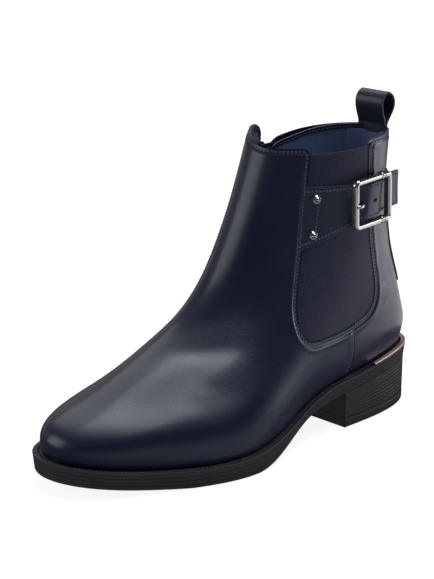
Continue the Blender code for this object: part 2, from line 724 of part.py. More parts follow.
def rounded_box(wide, tall, radius, steps=4):
    outline = []
    for corner, (sign_a, sign_b) in enumerate(((1, 1), (-1, 1), (-1, -1), (1, -1))):
        centre = (sign_a * (wide / 2 - radius), sign_b * (tall / 2 - radius))
        outline += arc(radius, corner * 90, corner * 90 + 90, steps, centre)
    return outline


def make_buckle():
    base, along, across, out = buckle_frame()
    wide, tall = BUCKLE_SIZE
    inside = rounded_box(wide - 2 * BUCKLE_BAR, tall - 2 * BUCKLE_BAR, BUCKLE_INNER_CORNER)
    outside = rounded_box(wide, tall, BUCKLE_CORNER)
    crown = rounded_box(wide - 2 * BUCKLE_EDGE, tall - 2 * BUCKLE_EDGE, BUCKLE_CORNER - BUCKLE_EDGE)
    # Ring's section, walked round: back inside, back outside, shoulder, crown, front inside.
    loops = [(inside, BUCKLE_LIFT - BUCKLE_DEPTH), (outside, BUCKLE_LIFT - BUCKLE_DEPTH),
             (outside, BUCKLE_LIFT - BUCKLE_EDGE), (crown, BUCKLE_LIFT), (inside, BUCKLE_LIFT)]
    rings = [[tuple(base + a * along + b * across + lift * out) for a, b in loop] for loop, lift in loops]
    frame = hoop("buckle_frame", np.array(rings), "bright_steel")
    half = CENTRE_BAR[0] / 2
    bar = [(CENTRE_BAR_ALONG - half, -tall / 2 + 1), (CENTRE_BAR_ALONG + half, -tall / 2 + 1),
           (CENTRE_BAR_ALONG + half, tall / 2 - 1), (CENTRE_BAR_ALONG - half, tall / 2 - 1)]
    points, faces = extrude(bar, CENTRE_BAR[1] / 2, base + (CENTRE_BAR_LIFT + CENTRE_BAR[1] / 2) * out,
                            along, across, out)
    centre_bar = solid("centre_bar", points, faces)
    centre_bar.hide_render = True
    centre_bar.display_type = "WIRE"
    cut(frame, centre_bar, "UNION")
    path = smooth_line(PRONG, 14)
    ring = []
    for spot, step in zip(path.tolist(), np.gradient(path, axis=0).tolist()):
        ahead = (step[0] * along + step[1] * out).normalized()
        beside = across.cross(ahead)
        middle = base + spot[0] * along + spot[1] * out
        ring.append([tuple(middle + PRONG_RADIUS * (math.cos(a) * across + math.sin(a) * beside))
                     for a in ring_angles(8)])
    stack("buckle_prong", np.array(ring), "bright_steel")


def make_studs():
    # Low cones with a rounded foot, standing square on the strap.
    for name, (angle, z) in STUDS.items():
        angle = math.radians(angle)
        foot = STRAP[0, 4] + STRAP_THICKNESS + GAP
        base = Vector(on_shaft(angle, z, foot))
        out = Vector(last_normal(angle, rise_at(angle, z)))
        right = Vector((0, 0, 1)).cross(out).normalized()
        up = out.cross(right)
        rings = []
        for radius, height in ((0.8, 0.0), (1.0, 0.25), (0.9, 0.5), (0.2, 1.0)):
            rings.append([tuple(base + STUD_RADIUS * radius * (math.cos(a) * right + math.sin(a) * up)
                                + STUD_HEIGHT * height * out) for a in ring_angles(12)])
        stack(name, np.array(rings), "bright_steel")


def make_back():
    turn = math.asin(BACKSTAY_HALF / OUTER_WIDTHS[-2, 0])
    angle, z = np.meshgrid(np.linspace(math.pi - turn, math.pi + turn, 9), np.linspace(*BACKSTAY_Z, 12))
    outer = on_shaft(angle, z, BACKSTAY_LIFT + BACKSTAY_THICKNESS)
    plate("backstay", outer, on_shaft(angle, z, BACKSTAY_LIFT), "black_leather")


def make_pull_loop():
    # Band bent into a teardrop that stands on the collar's rim, seen from the side and then given its width.
    rim = float(last_point(math.pi, 1.0)[2]) + GAP
    rear = np.column_stack([LOOP_X - LOOP[:, 1], rim + LOOP[:, 0]])
    front = np.column_stack([LOOP_X + LOOP[:, 1], rim + LOOP[:, 0]])
    middle = smooth_line(np.vstack([rear, [(LOOP_X, rim + LOOP_TOP)], front[::-1]]), 25)
    along = np.gradient(middle, axis=0)
    side = np.column_stack([-along[:, 1], along[:, 0]])
    side *= LOOP_THICKNESS / 2 / np.linalg.norm(side, axis=1, keepdims=True)
    outside = middle + side
    inside = middle - side
    outside[[0, -1], 1] = rim
    inside[[0, -1], 1] = rim + LOOP_THICKNESS
    inside[[0, -1], 0] = LOOP_X - LOOP_SEAM, LOOP_X + LOOP_SEAM
    half = LOOP_WIDTH / 2
    rings = [np.insert(outside, 1, -half, axis=1), np.insert(outside, 1, half, axis=1),
             np.insert(inside, 1, half, axis=1), np.insert(inside, 1, -half, axis=1)]
    hoop("pull_loop", np.array(rings), "black_leather")


def main():
    for item in list(bpy.data.objects):
        bpy.data.objects.remove(item, do_unlink=True)
    make_outsole()
    make_heel()
    make_trim()
    make_insole()
    make_upper()
    make_gore()
    make_straps()
    make_buckle()
    make_studs()
    make_back()
    make_pull_loop()
    make_zip_tape()
    make_slider()
    make_pull_tab()


main()
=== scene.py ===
# Buckle ankle boot for the left foot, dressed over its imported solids.
import math

import bmesh
import bpy
import numpy as np
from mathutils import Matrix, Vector


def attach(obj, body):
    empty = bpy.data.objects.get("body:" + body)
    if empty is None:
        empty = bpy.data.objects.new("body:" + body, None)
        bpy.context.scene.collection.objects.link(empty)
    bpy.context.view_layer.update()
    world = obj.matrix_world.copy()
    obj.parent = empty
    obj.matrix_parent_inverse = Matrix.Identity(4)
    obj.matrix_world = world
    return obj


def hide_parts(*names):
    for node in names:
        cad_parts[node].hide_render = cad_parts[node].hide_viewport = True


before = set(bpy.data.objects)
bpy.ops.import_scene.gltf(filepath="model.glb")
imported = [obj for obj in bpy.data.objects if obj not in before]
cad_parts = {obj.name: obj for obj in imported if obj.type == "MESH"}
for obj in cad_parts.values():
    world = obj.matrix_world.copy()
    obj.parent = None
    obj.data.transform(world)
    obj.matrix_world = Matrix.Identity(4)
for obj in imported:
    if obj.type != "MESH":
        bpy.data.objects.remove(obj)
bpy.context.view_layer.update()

mm = 0.001
print("loaded", len(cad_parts), "nodes")

# The last, in millimetres: x from behind the heel, y from the centre line with the outer side positive, z up.
# An angle runs round it from the toe (0) over the outer side (90) to the heel (180) and on; rise runs 0 to 1
# from the feather line up to the collar.
last = dict(origin=np.array([128.9, 3.481, 0.0]), featherGap=0.3, featherBlend=0.6, topRise=1.1,
            halvings=(36, 34))
# x, top and bottom of the sole.
soleRows = np.array([
    (0.0, 32.9, 25.0), (29.0, 32.5, 24.6), (58.0, 29.7, 22.0), (92.0, 25.6, 18.2), (112.0, 20.2, 14.0),
    (131.0, 14.9, 6.8), (150.0, 11.5, 0.9), (170.0, 9.9, -0.4), (190.0, 9.65, -0.3), (213.0, 10.9, 1.5),
    (256.0, 16.3, 7.0),
])
# Rise, then x and z of the front and of the back.
levelRows = np.array([
    (0.00, 249.9, 16.0, 6.8, 33.3), (0.07, 249.9, 24.0, 4.6, 40.7), (0.15, 243.2, 30.5, 4.8, 48.5),
    (0.25, 224.5, 37.9, 8.2, 59.1), (0.38, 195.5, 50.4, 12.0, 73.7), (0.52, 165.1, 66.1, 16.2, 91.1),
    (0.68, 140.4, 91.7, 19.4, 111.5), (0.84, 123.2, 125.3, 21.3, 133.6), (1.00, 111.0, 156.9, 20.8, 158.8),
])
# Half-widths for each of those rises, at shares of the way from back to front.
stationShares = (0.0, 0.2, 0.42, 0.66, 0.86, 1.0)
outerWidths = np.array([
    (43.0, 35.6, 36.0, 52.2, 49.1, 53.4), (43.8, 37.8, 38.3, 53.3, 50.4, 54.3),
    (47.5, 39.3, 39.3, 51.9, 49.9, 52.4), (48.5, 38.8, 38.8, 46.5, 45.6, 46.5),
    (43.0, 36.8, 37.3, 39.7, 39.7, 39.7), (34.5, 33.9, 35.4, 35.4, 34.9, 34.9),
    (31.0, 31.5, 33.0, 32.5, 32.0, 32.0), (29.1, 30.1, 31.0, 31.0, 31.0, 31.0),
    (30.1, 31.0, 31.5, 31.5, 31.0, 31.0),
])
innerWidths = np.array([
    (45.0, 38.8, 29.1, 43.2, 53.0, 53.9), (45.5, 40.7, 31.5, 45.1, 54.3, 55.3),
    (47.5, 41.2, 33.4, 44.1, 52.4, 53.3), (47.0, 40.2, 34.9, 40.2, 43.6, 43.6),
    (42.0, 37.8, 35.4, 35.9, 35.9, 34.9), (34.5, 34.4, 34.4, 33.4, 32.5, 32.0),
    (31.0, 31.5, 33.0, 32.5, 32.0, 32.0), (29.1, 30.1, 31.0, 31.0, 31.0, 31.0),
    (30.1, 31.0, 31.5, 31.5, 31.0, 31.0),
])


def spline(knots, values, at):
    # natural cubic: bends from the three-term equations, then the cubic of each stretch
    knots, values, at = np.asarray(knots, float), np.asarray(values, float), np.asarray(at, float)
    count, more = len(knots), (1,) * (values.ndim - 1)
    gaps = np.diff(knots)
    inner = np.arange(1, count - 1)
    matrix = np.eye(count)
    matrix[inner, inner - 1], matrix[inner, inner + 1] = gaps[:-1], gaps[1:]
    matrix[inner, inner] = 2.0 * (gaps[:-1] + gaps[1:])
    right = np.zeros(values.shape)
    right[1:-1] = 6.0 * np.diff(np.diff(values, axis=0) / gaps.reshape((-1,) + more), axis=0)
    bends = np.linalg.solve(matrix, right.reshape(count, -1)).reshape(values.shape)
    cell = np.clip(np.searchsorted(knots, at) - 1, 0, count - 2)
    size = gaps[cell].reshape(at.shape + more)
    near = ((knots[cell + 1] - at) / gaps[cell]).reshape(at.shape + more)
    far = 1.0 - near
    curved = (near ** 3 - near) * bends[cell] + (far ** 3 - far) * bends[cell + 1]
    return near * values[cell] + far * values[cell + 1] + curved * size ** 2 / 6.0


def tableAt(rows, at, column=1):
    # the cubic through one column of a table by its first, level beyond the ends
    return spline(rows[:, 0], rows[:, column], np.clip(at, rows[0, 0], rows[-1, 0]))


def unit(vectors):
    # each vector over its length
    return vectors / np.linalg.norm(vectors, axis=-1, keepdims=True)


def between(ends, share):
    # straight from the first end to the second
    return ends[0] + (ends[1] - ends[0]) * share


def runLength(points):
    # the length run along a line up to each of its points
    return np.concatenate([[0.0], np.cumsum(np.linalg.norm(np.diff(points, axis=0), axis=1))])


def smoothLine(points, count):
    # the cubic through the points over their running length, at even steps
    points = np.asarray(points, float)
    run = runLength(points)
    return spline(run, points, np.linspace(0.0, run[-1], count))


def smoothStep(low, high, at):
    # 0 below low, 1 above high, with level ends
    share = np.clip((at - low) / (high - low), 0.0, 1.0)
    return share * share * (3.0 - 2.0 * share)


def soleTop(x):
    # the table's cubic
    return tableAt(soleRows, x)


def soleBottom(x):
    # the table's cubic, not below the floor
    return np.maximum(tableAt(soleRows, x, 2), 0.0)


def lastPoint(angle, rise):
    # back end + share of the way to the front, width by sine; near the feather line the level follows
    # the sole
    angle, rise = np.broadcast_arrays(np.asarray(angle, float), np.asarray(rise, float))
    share = (1.0 + np.cos(angle)) / 2.0
    frontX, frontZ, backX, backZ = np.moveaxis(spline(levelRows[:, 0], levelRows[:, 1:], rise), -1, 0)
    baseX = levelRows[0, 3] + share * (levelRows[0, 1] - levelRows[0, 3])
    baseZ = levelRows[0, 4] + share * (levelRows[0, 2] - levelRows[0, 4])
    fade = np.clip(1.0 - rise / last["featherBlend"], 0.0, 1.0) ** 2
    sag = (soleTop(baseX) + last["featherGap"] - baseZ) * fade
    weights = spline(stationShares, np.eye(len(stationShares)), share)
    outer = (spline(levelRows[:, 0], outerWidths, rise) * weights).sum(-1)
    inner = (spline(levelRows[:, 0], innerWidths, rise) * weights).sum(-1)
    half = np.where(np.sin(angle) >= 0.0, outer, inner)
    return np.stack([backX + share * (frontX - backX), half * np.sin(angle),
                     backZ + share * (frontZ - backZ) + sag], axis=-1)


def lastFrame(angle, rise):
    # the point, its slopes by angle and by rise from small steps, and their cross product as outward normal
    step = 1e-4
    angle, rise = np.broadcast_arrays(np.asarray(angle, float), np.asarray(rise, float))
    around = (lastPoint(angle + step, rise) - lastPoint(angle - step, rise)) / (2.0 * step)
    up = (lastPoint(angle, rise + step) - lastPoint(angle, rise - step)) / (2.0 * step)
    return lastPoint(angle, rise), around, up, unit(np.cross(around, up))


def skin(angle, rise, lift):
    # the last's point moved along its normal
    point, _, _, normal = lastFrame(angle, rise)
    return point + np.asarray(lift, float)[..., None] * normal


def halveIn(angleAt, z, top, halvings):
    # the rise at which a line up the last reaches a height: the span that holds it is halved again and again
    low, high = np.zeros(z.shape), np.full(z.shape, top)
    for _ in range(halvings):
        rise = (low + high) / 2.0
        below = lastPoint(angleAt(rise), rise)[..., 2] < z
        low, high = np.where(below, rise, low), np.where(below, high, rise)
    return rise


def angleRise(x, z, side):
    # the angle and rise over an x and a height: at each rise the x gives the angle
    x, z = np.broadcast_arrays(np.asarray(x, float), np.asarray(z, float))

    def angleAt(rise):
        # the cosine is x between the level's back and front
        frontX, _, backX, _ = np.moveaxis(spline(levelRows[:, 0], levelRows[:, 1:], rise), -1, 0)
        return side * np.arccos(np.clip(2.0 * (x - backX) / (frontX - backX) - 1.0, -1.0, 1.0))

    rise = halveIn(angleAt, z, 1.0, last["halvings"][0])
    return angleAt(rise), rise


def riseAt(angle, z):
    # the rise at which an angle's line up the last reaches a height
    angle, z = np.broadcast_arrays(np.asarray(angle, float), np.asarray(z, float))
    return halveIn(lambda rise: angle, z, last["topRise"], last["halvings"][1])


def shiftOn(angle, rise, move):
    # a small way in space turned into steps of angle and rise by the two slopes' least squares
    _, around, up, _ = lastFrame(angle, rise)
    aa, ab, bb = (around * around).sum(-1), (around * up).sum(-1), (up * up).sum(-1)
    am, bm = (around * move).sum(-1), (up * move).sum(-1)
    share = aa * bb - ab * ab
    return angle + (am * bb - bm * ab) / share, rise + (bm * aa - am * ab) / share


def insetLine(angle, rise, inset):
    # a line on the last moved to its left by normal x tangent
    point, _, _, normal = lastFrame(angle, rise)
    return shiftOn(angle, rise, inset * np.cross(normal, unit(np.gradient(point, axis=0))))


def feather(angle, outset):
    # plan of the feather line moved out along its own plan normal, and that normal
    step = 1e-3
    plan = lastPoint(angle, 0.0)[..., :2]
    run = unit(lastPoint(angle + step, 0.0)[..., :2] - lastPoint(angle - step, 0.0)[..., :2])
    out = np.stack([run[..., 1], -run[..., 0]], axis=-1)
    return plan + np.asarray(outset, float)[..., None] * out, out


def borderWay(points, border):
    # shortest way from each point to the stretches of a line, in batches
    batchSize = 1500
    start, run = border[:-1], np.diff(border, axis=0)
    size = np.maximum((run * run).sum(-1), 1e-12)
    ways = []
    for batch in np.array_split(points, max(1, len(points) // batchSize)):
        gap = batch[:, None] - start
        share = np.clip((gap * run).sum(-1) / size, 0.0, 1.0)
        ways.append(np.sqrt((((gap - share[..., None] * run) ** 2).sum(-1)).min(axis=1)))
    return np.concatenate(ways)


def gridFaces(rows, columns, wrap=False, flip=False):
    # quads between neighbours of a grid, the last column joined to the first if wrapped
    row = np.arange(rows - 1)[:, None] * columns
    column = np.arange(columns if wrap else columns - 1)[None, :]
    here, there = row + column, row + (column + 1) % columns
    quads = np.stack([here, there, there + columns, here + columns], axis=-1).reshape(-1, 4)
    return quads[:, ::-1] if flip else quads


def sheet(points, wrap=False, flip=False):
    # a grid of points with its quads
    return points, gridFaces(*points.shape[:2], wrap=wrap, flip=flip)


def addPiece(name, parts, finish, stands=(), body="boot", closed=False, sharp=None):
    # parts are (points, faces) or (points, faces, uv), joined where their borders meet
    counts = [len(np.reshape(part[0], (-1, 3))) for part in parts]
    firsts = np.cumsum([0] + counts)
    points = (np.concatenate([np.reshape(part[0], (-1, 3)) for part in parts]) - last["origin"]) * mm
    faces = [part[1] + first for part, first in zip(parts, firsts)]
    uv = np.concatenate([np.reshape(part[2], (-1, 2)) if len(part) > 2 else np.zeros((count, 2))
                         for part, count in zip(parts, counts)])
    loops = np.concatenate([face.ravel() for face in faces]).astype(np.int32)
    sizes = np.concatenate([np.full(len(face), face.shape[1]) for face in faces])
    mesh = bpy.data.meshes.new(name)
    mesh.vertices.add(len(points))
    mesh.vertices.foreach_set("co", points.astype(np.float32).ravel())
    mesh.loops.add(len(loops))
    mesh.loops.foreach_set("vertex_index", loops)
    mesh.polygons.add(len(sizes))
    mesh.polygons.foreach_set("loop_start", (np.cumsum(sizes) - sizes).astype(np.int32))
    mesh.update(calc_edges=True)
    mesh.uv_layers.new(name="surface").data.foreach_set("uv", uv[loops].astype(np.float32).ravel())
    shape = bmesh.new()
    shape.from_mesh(mesh)
    bmesh.ops.remove_doubles(shape, verts=shape.verts, dist=2e-6)
    if closed:
        bmesh.ops.recalc_face_normals(shape, faces=shape.faces)
    shape.to_mesh(mesh)
    shape.free()
    mesh.shade_smooth()
    if sharp is not None:
        mesh.set_sharp_from_angle(angle=math.radians(sharp))
    piece = bpy.data.objects.new(name, mesh)
    bpy.context.collection.objects.link(piece)
    mesh.materials.append(finish)
    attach(piece, body)
    if stands:
        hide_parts(*stands)
    return piece


def fan(points, flip=False):
    # a flat end: triangles from the ring's middle
    count = len(points)
    ring = np.arange(count)
    faces = np.stack([np.full(count, count), ring, (ring + 1) % count], axis=-1)
    return np.concatenate([points, points.mean(axis=0, keepdims=True)]), faces[:, ::-1] if flip else faces


def sweep(path, right, out, section, loop=False):
    # a section carried along a path: path point + a * right + b * out for each section point (a, b)
    right, out = np.broadcast_to(right, path.shape), np.broadcast_to(out, path.shape)
    section = np.broadcast_to(section, (len(path),) + np.shape(section)[-2:])
    points = path[:, None] + section[..., :1] * right[:, None] + section[..., 1:] * out[:, None]
    if loop:
        return [sheet(np.concatenate([points, points[:1]]), wrap=True)]
    return [sheet(points, wrap=True), fan(points[0], flip=True), fan(points[-1])]


def roundBox(wide, tall, radius, steps=4):
    # a rectangle with quarter circles at its corners
    turn = np.linspace(0.0, np.pi / 2.0, steps)
    middles = [(wide / 2 - radius, tall / 2 - radius), (radius - wide / 2, tall / 2 - radius),
               (radius - wide / 2, radius - tall / 2), (wide / 2 - radius, radius - tall / 2)]
    return np.concatenate([np.stack([mid[0] + radius * np.cos(turn + quarter * np.pi / 2.0),
                                     mid[1] + radius * np.sin(turn + quarter * np.pi / 2.0)], axis=-1)
                           for quarter, mid in enumerate(middles)])


def filletFall(way, radius):
    # quarter circle: how far a rounded edge lies below its plate at a way in from the edge
    near = np.minimum(way, radius)
    return radius - np.sqrt(np.maximum(radius ** 2 - (radius - near) ** 2, 0.0))


def cornerFall(way, corner):
    # quarter ellipse: how far a rounded corner lies below its rim at a way along the rim
    along, down = corner
    return down / along * filletFall(way, along)


def plate(angle, rise, low, high, radius, inside=False, back=False):
    # a plate on the last: its face with rounded edges, a wall round its border, and a back if asked
    rows, columns = angle.shape
    high, low = np.broadcast_to(high, angle.shape), np.broadcast_to(low, angle.shape)
    base = lastPoint(angle, rise).reshape(-1, 3)
    loop = np.concatenate([np.arange(rows) * columns + columns - 1,
                           (rows - 1) * columns + np.arange(columns)[::-1],
                           np.arange(rows)[::-1] * columns, np.arange(columns)])
    way = borderWay(base, base[loop]).reshape(rows, columns)
    sign = -1.0 if inside else 1.0
    face = skin(angle, rise, high - sign * filletFall(way, radius))
    edgeAngle, edgeRise = angle.ravel()[loop], rise.ravel()[loop]
    edgeHigh = high.ravel()[loop] - sign * radius
    wall = np.stack([skin(edgeAngle, edgeRise, edgeHigh), skin(edgeAngle, edgeRise, low.ravel()[loop])])
    parts = [sheet(face, flip=inside), sheet(wall, flip=not inside)]
    if back:
        parts.append(sheet(skin(angle, rise, low), flip=not inside))
    return parts


edgeSteps = np.array([0.0, 0.05, 0.13, 0.25, 0.4, 0.6, 0.9, 1.25, 1.6, 1.85, 2.1, 2.4, 2.8, 3.4, 4.3, 5.6])


def spread(length, count, head=True, tail=True):
    # shares 0 to 1 along a length, with the edge's close steps at either end
    near = edgeSteps / length
    start = near if head else np.zeros(1)
    end = 1.0 - near[::-1] if tail else np.ones(1)
    return np.concatenate([start, np.linspace(start[-1], end[0], count)[1:-1], end])


print("helpers ready")

# Finishes. Leathers: colour, least and most roughness, grain cells to the metre, their depth, and clear coat.
looks = dict(
    leather=dict(color=(0.0048, 0.0067, 0.0265), rough=(0.30, 0.42), grain=1450.0, depth=0.00013, coat=0.5),
    strapLeather=dict(color=(0.0105, 0.0125, 0.03), rough=(0.4, 0.52), grain=1250.0, depth=0.00009, coat=0.3),
    # the cut edges are lighter than the panels: partly the edge's own tone, partly a painted highlight along
    # the rounded rim
    edgeToneAndPaintedHighlight=dict(color=(0.014, 0.022, 0.055), rough=(0.5, 0.62), grain=1500.0, depth=0.00006, coat=0.0),
    # the back strip's near-black colour is painted shade, standing for the shade on the boot's back
    paintedShadeLeather=dict(color=(0.006, 0.0065, 0.009), rough=(0.36, 0.5), grain=1250.0, depth=0.00005, coat=0.1),
)


def setSockets(node, values):
    # constants straight on a node's sockets
    for socket, value in values.items():
        node.inputs[socket].default_value = value
    return node


def newFinish(name, values):
    # a finish whose shader has these constants
    finish = bpy.data.materials.new(name)
    finish.use_nodes = True
    setSockets(finish.node_tree.nodes["Principled BSDF"], values)
    return finish


def addNode(finish, kind, values, source, socket):
    # a node with its constants, fed from an output of another node
    node = setSockets(finish.node_tree.nodes.new("ShaderNode" + kind), values)
    finish.node_tree.links.new(source, node.inputs[socket])
    return node


def toShader(finish, source, socket):
    # an output into the finish's shader
    finish.node_tree.links.new(source, finish.node_tree.nodes["Principled BSDF"].inputs[socket])


def ownPlace(finish):
    # the piece's own coordinates
    return finish.node_tree.nodes.new("ShaderNodeTexCoord").outputs["Object"]


def addBump(finish, height, strength, distance, below=None):
    # a bump from a height, over the bump below it, into the shader
    bump = addNode(finish, "Bump", {"Strength": strength, "Distance": distance}, height, "Height")
    if below:
        finish.node_tree.links.new(below.outputs["Normal"], bump.inputs["Normal"])
    toShader(finish, bump.outputs["Normal"], "Normal")
    return bump


def leatherFinish(name, look):
    # small cells and fine noise as bump, broad noise on the roughness
    finish = newFinish(name, {"Base Color": look["color"] + (1.0,), "Specular Tint": (0.78, 0.85, 1.0, 1.0),
                              "Coat Weight": look["coat"], "Coat Roughness": 0.23})
    place = ownPlace(finish)
    cells = addNode(finish, "TexVoronoi", {"Scale": look["grain"], "Randomness": 0.9}, place, "Vector")
    fine = addNode(finish, "TexNoise", {"Scale": look["grain"] * 2.2, "Detail": 3.0}, place, "Vector")
    broad = addNode(finish, "TexNoise", {"Scale": 42.0, "Detail": 4.0}, place, "Vector")
    grainBump = addBump(finish, cells.outputs["Distance"], 0.55, look["depth"])
    addBump(finish, fine.outputs["Fac"], 0.35, look["depth"], grainBump)
    smooth, dull = look["rough"]
    gloss = addNode(finish, "MapRange", {"From Min": 0.3, "From Max": 0.7, "To Min": smooth, "To Max": dull},
                    broad.outputs["Fac"], "Value")
    toShader(finish, gloss.outputs["Result"], "Roughness")
    return finish


def clothFinish(name, color, scale, depth, rough=0.85, sheen=0.2):
    # fine noise as bump with a faint sheen
    finish = newFinish(name, {"Base Color": color + (1.0,), "Roughness": rough, "Sheen Weight": sheen,
                              "Specular IOR Level": 0.3})
    fuzz = addNode(finish, "TexNoise", {"Scale": scale, "Detail": 5.0}, ownPlace(finish), "Vector")
    addBump(finish, fuzz.outputs["Fac"], 0.6, depth)
    return finish


def weaveFinish(name, dark, light, rib):
    # speckled yarn: fine noise between two colours and as bump, over faint ribs in millimetres of u
    finish = newFinish(name, {"Roughness": 0.8, "Sheen Weight": 0.12, "Specular IOR Level": 0.25})
    yarn = addNode(finish, "TexNoise", {"Scale": 900.0, "Detail": 2.0}, ownPlace(finish), "Vector")
    tint = addNode(finish, "ValToRGB", {}, yarn.outputs["Fac"], "Fac")
    for stop, place, color in zip(tint.color_ramp.elements, (0.34, 0.66), (dark, light)):
        stop.position = place
        stop.color = color + (1.0,)
    toShader(finish, tint.outputs["Color"], "Base Color")
    surface = finish.node_tree.nodes.new("ShaderNodeUVMap")
    surface.uv_map = "surface"
    ribs = addNode(finish, "TexWave", {"Scale": math.pi / (10.0 * rib), "Distortion": 0.8},
                   surface.outputs["UV"], "Vector")
    ribs.bands_direction = "X"
    ribBump = addBump(finish, ribs.outputs["Fac"], 0.3, 0.00005)
    addBump(finish, yarn.outputs["Fac"], 0.6, 0.00012, ribBump)
    return finish


def metalFinish(name, color, rough):
    # polished metal with faint broad unevenness
    finish = newFinish(name, {"Base Color": color + (1.0,), "Metallic": 1.0, "Roughness": rough})
    uneven = addNode(finish, "TexNoise", {"Scale": 260.0}, ownPlace(finish), "Vector")
    addBump(finish, uneven.outputs["Fac"], 0.06, 0.0002)
    return finish


leather = leatherFinish("navyLeather", looks["leather"])
strapLeather = leatherFinish("strapLeather", looks["strapLeather"])
paintedShadeLeather = leatherFinish("paintedShadeLeather", looks["paintedShadeLeather"])
edgeToneAndPaintedHighlight = leatherFinish("edgeToneAndPaintedHighlight", looks["edgeToneAndPaintedHighlight"])
elastic = weaveFinish("navyElastic", (0.0085, 0.0098, 0.029), (0.0145, 0.0165, 0.045), 0.8)
tapeCloth = weaveFinish("zipTape", (0.005, 0.0055, 0.009), (0.009, 0.0095, 0.014), 0.7)
liningCloth = clothFinish("sockLining", (0.145, 0.205, 0.400), 700.0, 0.00025, rough=0.6)
suede = clothFinish("heelSuede", (0.155, 0.215, 0.415), 2400.0, 0.0001, rough=0.95, sheen=0.6)
rubber = clothFinish("charcoalRubber", (0.0235, 0.0220, 0.0285), 1800.0, 0.00004, rough=0.45, sheen=0.0)
threadBlue = clothFinish("threadBlue", (0.020, 0.040, 0.098), 3000.0, 0.00005, rough=0.6)
weltThread = clothFinish("weltThread", (0.15, 0.15, 0.165), 3000.0, 0.00005, rough=0.6)
chrome = metalFinish("chrome", (0.70, 0.69, 0.68), 0.07)
roseGold = metalFinish("roseGold", (0.86, 0.70, 0.62), 0.34)
zipSteel = metalFinish("zipSteel", (0.27, 0.27, 0.29), 0.25)
# near-black finish of painted shade, laid where the strap's pinholes are
paintedHoleShade = newFinish("paintedHoleShade", {"Base Color": (0.002, 0.002, 0.003, 1.0), "Roughness": 0.9})
print("finishes ready")

# Edges of the panels: the gore's border (x, z) from the rear top round its foot to the front top, the zip's
# two edges from the foot up, and the outer seam between vamp and quarter (rise, angle).
edges = dict(
    gore=[(58.6, 160.5), (58.4, 156.0), (56.8, 136.0), (55.4, 112.0), (53.2, 97.0), (50.6, 86.0),
          (49.2, 77.0), (50.0, 70.5), (53.0, 65.0), (59.0, 61.2), (67.0, 59.0), (78.0, 57.1),
          (90.0, 56.4), (100.0, 56.3), (108.6, 57.2), (113.3, 60.8), (114.7, 66.8), (113.9, 74.3),
          (111.4, 83.0), (108.4, 92.5), (104.9, 106.0), (101.6, 122.5), (99.2, 136.0), (97.7, 145.3),
          (96.0, 153.5), (94.8, 160.5)],
    goreFrontCorner=(113.2, 63.0), goreRearCorner=(52.0, 66.4), goreTop=(153.7, 154.9),
    outerSeam=np.array([(0.0, 117.7), (0.08, 117.6), (0.16, 116.8), (0.23, 115.8), (0.30, 114.2),
                        (0.40, 113.6)]),
    innerSeam=math.radians(-100.0),
    zipFront=[(90.4, 66.0), (93.2, 66.1), (95.3, 67.2), (95.8, 70.0), (91.4, 90.0), (88.2, 110.0),
              (84.6, 146.0), (84.2, 166.0)],
    zipRear=[(90.0, 66.0), (88.9, 66.2), (87.7, 67.8), (87.2, 71.5), (83.0, 90.0), (79.8, 110.0),
             (75.4, 146.0), (73.0, 158.0)],
    zipFrontCorner=(95.0, 67.0), zipRearCorner=(88.2, 66.9), zipTop=150.4, zipTurn=287.0,
    gorePoints=700, zipPoints=260,
)


def edgeLine(points, count, side):
    # the cubic through an edge's points, as x and z and as angle and rise
    line = smoothLine(points, count)
    angle, rise = angleRise(line[:, 0], line[:, 1], side)
    return line, angle, rise


def nearest(line, spot):
    # number of the line's point with the least way to a spot
    return int(np.argmin(np.hypot(line[:, 0] - spot[0], line[:, 1] - spot[1])))


def outerSeamAt(rise):
    # the table's cubic
    return np.radians(tableAt(edges["outerSeam"], rise))


def innerSeamAt(rise):
    # one angle at every rise
    return np.full(np.shape(rise), edges["innerSeam"])


goreXz, goreAngle, goreRise = edgeLine(edges["gore"], edges["gorePoints"], 1.0)
zipFrontXz, zipFrontAngle, zipFrontRise = edgeLine(edges["zipFront"], edges["zipPoints"], -1.0)
zipRearXz, zipRearAngle, zipRearRise = edgeLine(edges["zipRear"], edges["zipPoints"], -1.0)
frontAt, rearAt = nearest(goreXz, edges["goreFrontCorner"]), nearest(goreXz, edges["goreRearCorner"])
# where the outer seam runs into the gore's foot
seamAt = rearAt + int(np.argmax(goreAngle[rearAt:frontAt] <= outerSeamAt(goreRise[rearAt:frontAt])))
zipFrontAt = nearest(zipFrontXz, edges["zipFrontCorner"])
zipRearAt = nearest(zipRearXz, edges["zipRearCorner"])
print("outer seam meets the gore at", goreXz[seamAt].round(1))

# Leather panels: lifts off the last, the cut edge, the band that stitches press down and the fullness beside
# it, the turn-in above the sole, and the lengths and rows of each panel's lower and upper block.
panel = dict(
    vampLift=0.9, quarterLift=0.25, foot=-1.25, round=0.42, stitchIn=1.7, stitchPull=0.5, band=(2.2, 3.7),
    puff=0.42, puffIn=4.0, puffWide=1.4, collarFade=0.75, collarZone=(0.93, 0.965), footZone=(0.005, 0.03),
    wearZone=(2.0, 9.0), turnIn=0.7, turnZone=(0.0, 0.028), seamTuck=2.4, tuckRadius=32.0, tuckShare=0.3,
    tuckFalls=(0.016, 0.012), sag=0.03, lowLong=70.0, lowRows=58, highLong=95.0, highRows=84, rimRise=0.985,
    slopeRise=0.99, wallRound=0.75, wallDrop=0.4, vampGrid=(190.0, 124), quarterGrid=(150.0, 104),
)
# How far the collar lies below the last's rim, by degrees round it: behind the zip and ahead of it.
rearCollar = np.array([
    (20.0, 0.0), (90.0, 0.0), (180.0, 0.3), (210.0, 0.9), (230.0, 1.7), (244.0, 3.1), (258.0, 5.4),
    (268.0, 7.0), (290.0, 9.0),
])
frontCollar = np.array([
    (285.0, -5.4), (300.0, -6.0), (312.0, -6.1), (324.0, -5.4), (338.0, -3.6), (352.0, -2.5), (366.0, -1.0),
    (380.0, 0.0),
])
